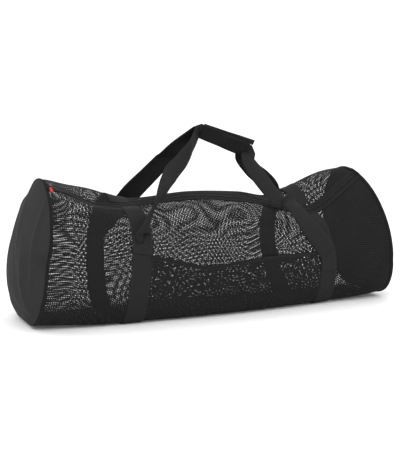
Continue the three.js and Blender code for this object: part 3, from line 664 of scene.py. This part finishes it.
def net_patch(name, arc_from, arc_to, alongs, lift, replaces, turned):
    """Holes in hexagons over a stretch of the skin, between two lengths round it that vary along it.
    The rows of holes run round the bag, or along it where they are turned."""
    rng = np.random.default_rng(SEED)
    radius = NET_PITCH / math.sqrt(3)
    row_step = 1.5 * radius
    x_step, round_step = (NET_PITCH, row_step) if turned else (row_step, NET_PITCH)
    start, stop = (along * LENGTH / 2 for along in alongs)
    columns = int((stop - start) / x_step)
    middle_perimeter = skin.perimeters.mean()
    per_ring = round(middle_perimeter / round_step)
    i, j = np.meshgrid(np.arange(-1, columns + 1), np.arange(-1, per_ring + 1), indexing="ij")
    x = start + (i + 0.5 + (0.5 * (j % 2) if turned else 0)) * x_step
    turn = (j + (0.5 if turned else 0.5 * (i % 2))) / per_ring
    along = along_of(x)
    arc = turn * skin.perimeter(along)
    margin = NET_PITCH / 2
    inside = (arc > arc_from(along) + margin) & (arc < arc_to(along) - margin)
    inside &= (i >= 0) & (i < columns) & (j >= 0) & (j < per_ring)
    drift_x = NET_DRIFT * np.sin(x * 41 + 9 * turn) * np.sin(turn * 37)
    drift_round = NET_DRIFT * np.sin(x * 29 - 11 * turn) / middle_perimeter

    def place(step_x, step_round, rise):
        """Points at steps in metres from the middles of the holes."""
        a = np.clip(along + (step_x + drift_x) / (LENGTH / 2), -1, 1)
        t = (turn + step_round / middle_perimeter + drift_round) * skin.perimeter(a)
        return skin.at(a, t, lift(a, t) + rise)

    def towards(angle, size):
        """A step at an angle from the direction across the rows."""
        across, down = size * math.cos(angle), size * math.sin(angle)
        return (down, across) if turned else (across, down)

    ahead = np.arange(x.size).reshape(x.shape)
    behind = ahead + x.size
    points = [place(*towards(angle, radius), NET_RISE).reshape(-1, 3) for angle in (0, math.pi)]
    wobble = rng.uniform(-NET_JITTER, NET_JITTER, (2, *x.shape)) * NET_PITCH
    size = NET_HOLE * radius
    for k in range(6):
        step_x, step_round = towards(k * math.pi / 3, size)
        points.append(place(step_x + wobble[0], step_round + wobble[1], -NET_RISE)[inside])
    first = 2 * x.size
    count = int(inside.sum())
    holes = [first + k * count + np.arange(count) for k in range(6)]

    ci, cj = np.where(inside)
    row, hole = (cj, ci) if turned else (ci, cj)
    odd = (row - 1) % 2  # the grid starts one row early
    up = hole + odd
    down = hole - 1 + odd

    def knot(kind, at_row, at_hole):
        return kind[at_hole, at_row] if turned else kind[at_row, at_hole]

    knots = [
        knot(ahead, row, hole), knot(behind, row + 1, up), knot(ahead, row - 1, up),
        knot(behind, row, hole), knot(ahead, row - 1, down), knot(behind, row + 1, down),
    ]
    faces = np.concatenate([
        np.stack([holes[k], knots[k], knots[(k + 1) % 6], holes[(k + 1) % 6]], -1) for k in range(6)
    ])
    if turned:
        faces = faces[:, ::-1]
    points = np.concatenate(points)
    used, faces = np.unique(faces.ravel(), return_inverse=True)
    return make_piece(name, points[used], faces.reshape(-1, 4), None, NET, replaces)


def no_lift(along, arc):
    return 0.0


def net_cut(share, lap):
    """Length round the bag to a cut through its net, with a lap over the next stretch."""
    edge = ZIP_OPENING / 2

    def arc_at(along):
        per = skin.perimeter(along)
        return np.clip(share * per, edge, per - edge) + lap

    return arc_at


def make_net():
    """The bag's net in four stretches round it. The rows of holes are turned in the back half."""
    lap = NET_PITCH / 2
    for quarter, name in enumerate(["net_front", "net_floor_front", "net_floor_back", "net_back"]):
        start = net_cut(quarter / 4, -lap if quarter > 0 else 0)
        stop = net_cut((quarter + 1) / 4, lap if quarter < 3 else 0)
        piece = net_patch(name, start, stop, (-1, 1), no_lift, ["mesh_body"], quarter >= 2)


def pocket_share(along):
    """Share of the way from the left strap to the right one."""
    low = along_of(STRAP_LEFT + WEBBING_HALF)
    high = along_of(STRAP_RIGHT - WEBBING_HALF)
    return (np.asarray(along, float) - low) / (high - low)


def pocket_edge_arc(along):
    """Length round the bag to the pocket's upper edge."""
    table = np.array([smooth_row(POCKET_EDGE, s)[1] for s in np.linspace(0, 1, 60)])
    share = np.interp(np.clip(pocket_share(along), 0, 1), np.linspace(0, 1, 60), table)
    return skin.arc_of_share(along, share)


def pocket_lift(along, arc):
    """Height of the pocket's net above the bag's."""
    edge = pocket_edge_arc(along)
    bottom = skin.arc_of_share(along, POCKET_BOTTOM)
    up = np.clip((bottom - arc) / (bottom - edge), 0, 1)
    return POCKET_RISE + POCKET_PUFF * np.sin(math.pi * np.clip(pocket_share(along), 0, 1)) * up


def pocket_foot_arc(along):
    return skin.arc_of_share(along, POCKET_BOTTOM) + POCKET_FOOT


def make_pocket():
    """The second layer of net between the straps, and the binding along its upper edge."""
    reach = WEBBING_HALF - POCKET_LAP
    ends = (along_of(STRAP_LEFT + reach), along_of(STRAP_RIGHT - reach))
    net = net_patch("pocket_net", pocket_edge_arc, pocket_foot_arc, ends, pocket_lift, ["pocket_panel"], True)
    places = np.linspace(*ends, 160)
    edge = pocket_edge_arc(places)
    loops = np.stack([
        skin.at(places, edge + down, pocket_lift(places, edge + down) + up) for down, up in HEM_PROFILE
    ], axis=1)
    make_band("pocket_hem_band", loops, HEM_WIDTH, TAPE, ["pocket_hem"])


# End panels


def make_end_panel(side):
    """Bulging end cloth whose rim is the end of the skin. side is -1 at the left and 1 at the right."""
    name = "left" if side < 0 else "right"
    per = skin.perimeter(side)
    arcs = np.arange(RIM_POINTS) / RIM_POINTS * per
    rim = skin.at(np.full(RIM_POINTS, float(side)), arcs, PANEL_LIP)
    centre = (rim.min(axis=0) + rim.max(axis=0)) / 2
    centre[2] = rim[:, 2].min() + PANEL_PEAK * (rim[:, 2].max() - rim[:, 2].min())
    shares = 1 - np.linspace(0, 1, 60) ** 1.15
    shares[-1] = 0.002
    points = centre + (rim[None] - centre) * shares[:, None, None]
    bulge = PANEL_BULGE * (1 - np.minimum(shares / PANEL_SEAM, 1) ** PANEL_DOME)
    y, z = points[..., 1] / DEPTH, points[..., 2] / HEIGHT
    folds = np.zeros_like(y)
    for fold_y, fold_z, angle, long, wide, height in PANEL_FOLDS:
        a, b = y - fold_y, z - fold_z
        folds += height * fold_shape(a, b, angle, long, wide)
    fade = np.clip((1 - shares) / 0.06, 0, 1)[:, None]
    points[..., 0] += side * (CLOTH_GAP + bulge[:, None] + folds * fade)
    uvs = np.stack([points[..., 1], points[..., 2]], -1).reshape(-1, 2)
    faces = grid_faces(*points.shape[:2], wrap=True)
    if side > 0:
        faces = faces[:, ::-1]
    panel = make_piece(f"panel_{name}", points.reshape(-1, 3), faces, uvs, PANEL,
                       [f"end_panel_{name}"])


def make_end_binding(side):
    """The panel's cloth turned over the net's end, with its folded edge."""
    name = "left" if side < 0 else "right"
    turns = np.arange(RIM_POINTS) / RIM_POINTS
    loops = []
    for inward, lift in BINDING_PROFILE:
        along = side * (1 - max(inward, 0) / (LENGTH / 2))
        ring = skin.at(np.full(RIM_POINTS, along), turns * skin.perimeter(along), lift)
        ring[:, 0] += side * max(-inward, 0)
        loops.append(ring)
    loops = np.stack(loops, axis=1)
    closed = np.concatenate([loops, loops[:1]])
    uvs = even_uvs(*closed.shape[:2], 0.02, skin.perimeter(side))
    make_piece(f"binding_{name}", closed.reshape(-1, 3), grid_faces(*closed.shape[:2], wrap=True), uvs,
               SEAM, ())


# Zip

ZIP_ROWS = 420
ZIP_FROM = along_of(-LENGTH / 2 + ZIP_END_SPACE)
ZIP_TO = along_of(LENGTH / 2 - ZIP_END_SPACE)


def make_tape(side):
    """One tape: a flat inner strip, a stitched ridge and a folded outer hem."""
    name = "front" if side > 0 else "back"
    places = np.linspace(ZIP_FROM, ZIP_TO, ZIP_ROWS)
    inner = [(distance, max(height - TAPE_PLY, 0.0002)) for distance, height in TAPE_PROFILE]
    loops = webbing_loops(*(
        np.stack([skin.at(places, side * distance, height) for distance, height in face], axis=1)
        for face in (TAPE_PROFILE, inner)
    ))
    make_band(f"tape_{name}", loops, 0.018, TAPE, [f"zip_tape_{name}"], flip=side < 0)


def make_teeth():
    """Two rows of coil turns that mesh along the zip's middle."""
    pitch = TOOTH_PITCH / (LENGTH / 2)
    count = int((ZIP_TO - ZIP_FROM) / pitch)
    places = ZIP_FROM + (np.arange(count) + 0.5) * pitch
    half = TOOTH_HALF * pitch
    n = len(TOOTH_PROFILE)
    points, faces = [], []
    for side in (-1, 1):
        shifted = places + side * TOOTH_SHIFT * pitch
        first = sum(len(block) for block in points)
        tooth = np.stack([
            skin.at(shifted + end, side * distance, height)
            for end in (-half, half) for distance, height in TOOTH_PROFILE
        ], axis=1)
        points.append(tooth.reshape(-1, 3))
        local = [[k, (k + 1) % n, n + (k + 1) % n, n + k] for k in range(n)]
        local += [[0, 5, 4, 1], [1, 4, 3, 2], [n, n + 1, n + 4, n + 5], [n + 1, n + 2, n + 3, n + 4]]
        local = np.array(local)
        if side < 0:
            local = local[:, ::-1]
        faces.append((first + np.arange(count)[:, None, None] * 2 * n + local[None]).reshape(-1, 4))
    make_piece("zip_teeth", np.concatenate(points), np.concatenate(faces), None, COIL,
               ["zip_coil"])


def skin_block(name, x_range, arcs, heights, steps, material, replaces, round_off=0.0008):
    """A small pad on the skin with a rounded rim, between two heights."""
    xs = np.linspace(*x_range, steps[0])
    ys = np.linspace(*arcs, steps[1])
    gx, gy = np.meshgrid(xs, ys, indexing="ij")
    rim = np.minimum.reduce([gx - xs[0], xs[-1] - gx, gy - ys[0], ys[-1] - gy])
    soft = round_off * (1 - np.clip(rim / round_off, 0, 1)) ** 2
    top = skin.at(along_of(gx), gy, heights[1] - soft)
    low = skin.at(along_of(gx), gy, heights[0])
    make_band(name, webbing_loops(top, low), ys[-1] - ys[0], material, replaces, flip=True)


def make_zip_ends():
    """The tab over each end of the zip, and the slider with its pull at the left end."""
    tab_from = -LENGTH / 2 + CLOTH_GAP
    tab_to = tab_from + TAB_LENGTH
    low = COIL_HEIGHT + 2 * CLOTH_GAP
    for name, xs in (("left", (tab_from, tab_to)), ("right", (-tab_to, -tab_from))):
        skin_block(f"tab_{name}", xs, TAB_REACH, (0.0012, low + TAB_WALL), (16, 30),
                   TAPE, [f"zip_tab_{name}"])
    slider_from = tab_to + SLIDER_SPACE
    skin_block("slider", (slider_from, slider_from + SLIDER_LENGTH), SLIDER_REACH,
               (0.0026, low + SLIDER_RISE), (14, 14), COIL, ["zip_slider"], 0.0018)
    middle = slider_from + SLIDER_LENGTH / 2
    skin_block("pull_tag", (middle - PULL_HALF, middle + PULL_HALF), PULL_REACH,
               (low + 0.0002, low + 0.002), (12, 22), RED, ["zip_pull"])


# Straps and handles

def make_strap(name, x):
    """Webbing round the bag, from one tape of the zip to the other."""
    start = TAPE_EDGE + CLOTH_GAP
    per = skin.perimeter(along_of(x))
    arcs = np.linspace(start, per - start, 260)
    loops = webbing_loops(*skin_webbing(x, arcs, CLOTH_GAP))
    make_band(f"{name}_webbing", loops, WEBBING_WIDTH, WEBBING, [name], flip=True)


def across_webbing(direction, turn):
    """Direction across webbing that runs along a path: in the plane of X and Z, then turned."""
    across = Vector((direction.z, 0, -direction.x)).normalized()
    return Matrix.Rotation(math.radians(turn), 3, direction.normalized()) @ across


GRIP_AXIS = Matrix.Rotation(math.radians(-GRIP_SLOPE), 3, "Y") @ Vector((1, 0, 0))
GRIP_ACROSS = across_webbing(GRIP_AXIS, GRIP_TURN)
GRIP_FACE = GRIP_AXIS.cross(GRIP_ACROSS).normalized()


def grip_point(distance, side):
    """Middle of a handle's webbing in the grip, at a distance along it."""
    offset = -side * (WEBBING_WALL + CLOTH_GAP) / 2
    return GRIP_MIDDLE + GRIP_AXIS * distance + GRIP_FACE * offset


def catmull(points, share):
    """Point and direction on a smooth curve through points, at a share of its steps."""
    count = len(points) - 1
    at = min(max(share * count, 0), count - 1e-6)
    i = int(at)
    u = at - i
    p1, p2 = points[i], points[i + 1]
    p0 = points[i - 1] if i else p1 * 2 - p2
    p3 = points[i + 2] if i + 2 <= count else p2 * 2 - p1
    a = 2 * p1
    b = p2 - p0
    c = 2 * p0 - 5 * p1 + 4 * p2 - p3
    d = 3 * p1 - p0 - 3 * p2 + p3
    return (a + b * u + c * u * u + d * u**3) / 2, (b + 2 * c * u + 3 * d * u * u) / 2


def webbing_cut(middle, across, face, width, cup, side):
    """Outer and inner face of a cut, cupped across its width."""
    share = np.linspace(-1, 1, WEBBING_CUT)[:, None]
    wall = rounded(WEBBING_CUT, WEBBING_WALL)[:, None]
    across, face, middle = (np.array(v) for v in (across, face, middle))
    out = -side * face
    base = middle + across * share * width / 2 + out * cup * (1 - share**2)
    return base + out * wall, base - out * wall


def limb_cuts(table, start, end, end_turn, side):
    """Cuts of a handle's free limb, from its strap to the grip."""
    rows = np.array(table)
    way = end - start
    points = [start] + [Vector((start.x + a * way.x, start.y + b * way.y, start.z + c * way.z))
                        for a, b, c, *_ in table] + [end]
    places = np.arange(len(points))
    widths = np.concatenate([[1], rows[:, 3], [GRIP_WEBBING]])
    turns = np.concatenate([[0], rows[:, 4], [end_turn]])
    cuts = []
    for step in range(1, LIMB_ROWS):
        share = step / LIMB_ROWS
        at = share * (len(points) - 1)
        middle, direction = catmull(points, share)
        across = across_webbing(direction, float(np.interp(at, places, turns)))
        face = direction.cross(across).normalized()
        width = WEBBING_WIDTH * float(np.interp(at, places, widths))
        cup = LIMB_CUP * math.sin(math.pi * share)
        cuts.append(webbing_cut(middle, across, face, width, cup, side))
    return cuts


def stitched_cuts(x, side, end):
    """Webbing stitched flat on a strap, from the stitching's end to where the handle leaves it."""
    leaves, ends = end
    along = along_of(x)
    arcs = np.linspace(skin.arc_of_share(along, ends), skin.arc_of_share(along, leaves), STITCHED_ROWS)
    if side < 0:
        arcs = skin.perimeter(along) - arcs
    outer, inner = skin_webbing(x, arcs, 2 * CLOTH_GAP + WEBBING_WALL)
    return list(zip(outer, inner))


def make_handle(name, side, left_end, right_end, left_limb, right_limb):
    """Webbing sewn to both straps and led through the grip. side is 1 at the front and -1 at the back."""
    left = stitched_cuts(STRAP_LEFT, side, left_end)
    right = stitched_cuts(STRAP_RIGHT, side, right_end)
    reach = GRIP_LENGTH / 2 + GRIP_LEAD
    width = WEBBING_WIDTH * GRIP_WEBBING
    ends = [grip_point(distance, side) for distance in (-reach, reach)]
    in_grip = [webbing_cut(grip_point(distance, side), GRIP_ACROSS, GRIP_FACE, width, 0, side)
               for distance in np.linspace(-reach, reach, GRIP_ROWS)]

    def foot(cuts):
        return Vector(((cuts[-1][0] + cuts[-1][1]) / 2).mean(axis=0))

    up_left = limb_cuts(left_limb, foot(left), ends[0], GRIP_TURN, side)
    up_right = limb_cuts(right_limb, foot(right), ends[1], -GRIP_TURN, side)
    down = [(outer[::-1], inner[::-1]) for outer, inner in (right + up_right)[::-1]]
    cuts = left + up_left + in_grip + down
    outer = np.array([cut[0] for cut in cuts])
    inner = np.array([cut[1] for cut in cuts])
    make_band(f"{name}_webbing", webbing_loops(outer, inner), WEBBING_WIDTH, WEBBING, [name],
              flip=side > 0)


def grip_points(distance, across, out):
    """Points at a distance along the grip, from their distances across it and out of its face."""
    centre = GRIP_MIDDLE + GRIP_AXIS * float(distance)
    return np.array([np.array(centre + GRIP_ACROSS * float(a) + GRIP_FACE * float(o))
                     for a, o in zip(across, out)])


def make_grip():
    """The sleeve round both handles, a little crumpled, with its ends turned in."""
    half_width = WEBBING_WIDTH * GRIP_WEBBING / 2 + CLOTH_GAP + GRIP_WALL
    half_face = WEBBING_WALL + CLOTH_GAP * 1.5 + GRIP_WALL
    half_length = GRIP_LENGTH / 2
    count = 48
    angle = np.arange(count) / count * 2 * math.pi
    squareness = 0.28
    side = np.sign(np.cos(angle)) * np.abs(np.cos(angle)) ** squareness * half_width
    level = np.sign(np.sin(angle)) * np.abs(np.sin(angle)) ** squareness * half_face

    def turned_in(share):
        return grip_points(share * half_length, side * 0.95, level * 0.62)

    rings = [turned_in(-0.93), turned_in(-0.995)]
    for share in np.linspace(-1, 1, 60):
        puff = 1 + 0.10 * math.cos(share * math.pi / 2) + 0.03 * math.sin(7 * share)
        crease = 0.0006 * np.sin(3 * angle + 5 * share) * (1 - abs(share) ** 6)
        rings.append(grip_points(share * half_length, side, level * puff + crease * np.sign(level)))
    points = np.array(rings + [turned_in(0.995), turned_in(0.93)])
    make_piece("grip_wrap", points.reshape(-1, 3), grid_faces(*points.shape[:2], wrap=True),
               even_uvs(*points.shape[:2], 0.12, GRIP_LENGTH), TAPE, ["handle_grip"])


def make_flap():
    """The sleeve's loose edge, standing along its upper side and curling at its free corner."""
    half = GRIP_LENGTH / 2
    end = half + FLAP_REACH
    places = np.linspace(-half, end, 50)
    rises = FLAP_RISE * np.interp(places, [-half, -0.3 * half, 0.5 * half, end], [0.15, 0.45, 0.8, 1])
    base = -(WEBBING_WIDTH * GRIP_WEBBING / 2 + CLOTH_GAP)
    steps = np.linspace(0, 1, 8)
    middle = np.array([
        grip_points(distance, base - rise * steps, FLAP_OUT + FLAP_CURL * max(distance / half, 0) * steps**2)
        for distance, rise in zip(places, rises)
    ])
    half_wall = np.array(GRIP_FACE) * FLAP_WALL / 2
    loops = webbing_loops(middle + half_wall, middle - half_wall)
    make_band("grip_flap_cloth", loops, 0.016, TAPE, ["grip_flap"])


# Stitches

def stitch_bars(path, normal, pitch=0.0042, length=0.0030, width=0.0007, height=0.0006):
    """Small thread bars along a path of points with their outward directions."""
    sums = np.concatenate([[0], np.cumsum(np.linalg.norm(np.diff(path, axis=0), axis=1))])
    middles = np.arange(pitch / 2, sums[-1] - pitch / 2, pitch)

    def at(distance, values):
        return np.stack([np.interp(distance, sums, values[:, c]) for c in range(3)], -1)

    start, middle, end = (at(middles + d, path) for d in (-length / 2, 0, length / 2))
    up = at(middles, normal)
    up /= np.linalg.norm(up, axis=1, keepdims=True)
    ahead = end - start
    side = np.cross(ahead, up)
    side /= np.linalg.norm(side, axis=1, keepdims=True)
    low, high = up * -0.0003, up * height
    rings = []
    for base, top, wide in ((start, low, 0.6), (middle, high, 1.0), (end, low, 0.6)):
        rings += [base + side * width / 2 * wide + up * -0.0002, base + top + side * width / 4,
                  base + top - side * width / 4, base - side * width / 2 * wide + up * -0.0002]
    points = np.stack(rings, axis=1)
    local = []
    for r in range(2):
        local += [[4 * r + k, 4 * r + k + 1, 4 * r + k + 5, 4 * r + k + 4] for k in range(3)]
    faces = np.arange(len(middles))[:, None, None] * 12 + np.array(local)[None]
    return points.reshape(-1, 3), faces.reshape(-1, 4)


class Threads:
    """Collects stitches for one joined piece."""

    def __init__(self):
        self.points, self.faces, self.count = [], [], 0

    def on_skin(self, along, arc, lift, **sizes):
        """Adds the stitches along a path on the skin."""
        path = skin.at(along, arc, lift)
        points, faces = stitch_bars(path, skin.at(along, arc, lift + 0.01) - path, **sizes)
        self.points.append(points)
        self.faces.append(faces + self.count)
        self.count += len(points)

    def make(self):
        make_piece("stitching", np.concatenate(self.points), np.concatenate(self.faces), None,
                   THREAD, ())


# Distances of stitches from an edge, and their pitches and lengths
STRAP_INSET = 0.0045
FINE = {"pitch": 0.0036, "length": 0.0026}
OVERLOCK = {"pitch": 0.0049, "length": 0.0043}
OVERLOCK_STEP = 0.0026
OVERLOCK_INSETS = (0.0064, 0.0022)
TAPE_ROWS = [(0.0064, 0.0016), (0.0176, 0.0026)]  # distance from the zip's middle, and height
HEM_ROWS = [0.0022, 0.0080]
HEM_LIFT = 0.0025  # above the pocket's net
SEAM_SPACE = 0.02  # of the net's end beside the zip, without overlock stitches


def strap_stitches(threads, x):
    """A row along each edge of a strap."""
    start = TAPE_EDGE + 0.004
    per = skin.perimeter(along_of(x))
    arcs = np.linspace(start, per - start, 400)
    for edge in (-WEBBING_HALF + STRAP_INSET, WEBBING_HALF - STRAP_INSET):
        threads.on_skin(along_of(x + edge), arcs, CLOTH_GAP + WEBBING_WALL)


def patch_stitches(threads, x, side, end):
    """Box with a cross that holds a handle's end on its strap."""
    leaves, ends = end
    along = along_of(x)
    low = skin.arc_of_share(along, ends) - 0.005
    high = skin.arc_of_share(along, leaves) + 0.010
    inset = WEBBING_HALF - STRAP_INSET
    corners = [(-inset, low), (inset, low), (inset, high), (-inset, high), (-inset, low), (inset, high)]
    corners += [(-inset, high), (inset, low)]
    lift = 2 * CLOTH_GAP + 2 * WEBBING_WALL
    for (x0, a0), (x1, a1) in zip(corners, corners[1:]):
        share = np.linspace(0, 1, 60)
        arc = a0 + (a1 - a0) * share
        if side < 0:
            arc = skin.perimeter(along) - arc
        threads.on_skin(along_of(x + x0 + (x1 - x0) * share), arc, lift)


def seam_stitches(threads, side):
    """Overlock stitches to and fro over the binding of an end."""
    per = skin.perimeter(side)
    count = int((per - 2 * SEAM_SPACE) / OVERLOCK_STEP)
    arcs = np.linspace(SEAM_SPACE, per - SEAM_SPACE, count)
    outer, inner = OVERLOCK_INSETS
    inward = np.where(np.arange(count) % 2, inner, outer)
    threads.on_skin(side * (1 - inward / (LENGTH / 2)), arcs, 0.0018, **OVERLOCK)


def make_stitches():
    """All rows of stitches, as one piece."""
    threads = Threads()
    for x in (STRAP_LEFT, STRAP_RIGHT):
        strap_stitches(threads, x)
    for _, side, left_end, right_end, *_ in HANDLES:
        patch_stitches(threads, STRAP_LEFT, side, left_end)
        patch_stitches(threads, STRAP_RIGHT, side, right_end)
    places = np.linspace(ZIP_FROM, ZIP_TO, 1200)
    for distance, lift in TAPE_ROWS:
        for side in (-1, 1):
            threads.on_skin(places, side * distance, lift, **FINE)
    for side in (-1, 1):
        seam_stitches(threads, side)
    places = np.linspace(along_of(STRAP_LEFT + WEBBING_HALF), along_of(STRAP_RIGHT - WEBBING_HALF), 500)
    for down in HEM_ROWS:
        arc = pocket_edge_arc(places) + down
        threads.on_skin(places, arc, pocket_lift(places, arc) + HEM_LIFT, **FINE)
    threads.make()


# Stage

def make_floor():
    """Wide, pale and level floor."""
    far = 30
    corners = [(-far, -far, 0), (far, -far, 0), (far, far, 0), (-far, far, 0)]
    mesh = bpy.data.meshes.new("floor")
    mesh.from_pydata(corners, [], [(0, 1, 2, 3)])
    material, tree, shader = new_material("floor", (0.96, 0.96, 0.96), 0.9)
    tree.links.new(colour_between(tree, mottle(tree, 3), (0.955, 0.955, 0.955), (0.965, 0.965, 0.965)),
                   shader.inputs["Base Color"])
    mesh.materials.append(material)
    new_object("floor", mesh)


def area_light(name, place, aim, size, power):
    """A round lamp of some metres and watts, turned to a point."""
    data = bpy.data.lights.new(name, "AREA")
    data.shape = "DISK"
    data.size = size
    data.energy = power
    light = new_object(name, data)
    light.location = place
    light.rotation_euler = (Vector(aim) - Vector(place)).to_track_quat("-Z", "Y").to_euler()


def make_light():
    """Even pale surroundings and three soft lamps."""
    world = bpy.data.worlds.new("studio")
    bpy.context.scene.world = world
    world.use_nodes = True
    background = world.node_tree.nodes["Background"]
    background.inputs["Color"].default_value = (1, 1, 1, 1)
    background.inputs["Strength"].default_value = 1.3
    area_light("key", (-1.6, -2.4, 2.6), (0, 0, 0.15), 1.6, 40)
    area_light("fill", (2.4, -1.8, 1.6), (0, 0, 0.15), 2.0, 10)
    area_light("top", (0.2, 0.6, 3.0), (0, 0, 0.1), 2.4, 5)


def make_camera():
    """The photograph's view."""
    turn, rise = math.radians(CAMERA_TURN), math.radians(CAMERA_RISE)
    away = Vector((math.sin(turn) * math.cos(rise), -math.cos(turn) * math.cos(rise), math.sin(rise)))
    data = bpy.data.cameras.new("photo")
    data.sensor_width = 36
    data.lens = FOCAL_PIXELS / max(PHOTO_WIDTH, PHOTO_HEIGHT) * data.sensor_width
    camera = new_object("photo", data)
    camera.location = Vector(CAMERA_AIM) + Vector(SHIFT) + away * CAMERA_DISTANCE
    camera.rotation_euler = away.to_track_quat("Z", "Y").to_euler()
    bpy.context.scene.camera = camera


def build():
    """Every piece of the bag, the floor, the lamps and the camera."""
    make_net()
    make_pocket()
    for side in (-1, 1):
        make_end_panel(side)
        make_end_binding(side)
        make_tape(side)
    make_teeth()
    make_zip_ends()
    make_strap("strap_left", STRAP_LEFT)
    make_strap("strap_right", STRAP_RIGHT)
    for handle in HANDLES:
        make_handle(*handle)
    make_grip()
    make_flap()
    make_stitches()
    make_floor()
    make_light()
    make_camera()
    bpy.context.scene.view_settings.view_transform = "Standard"


build()
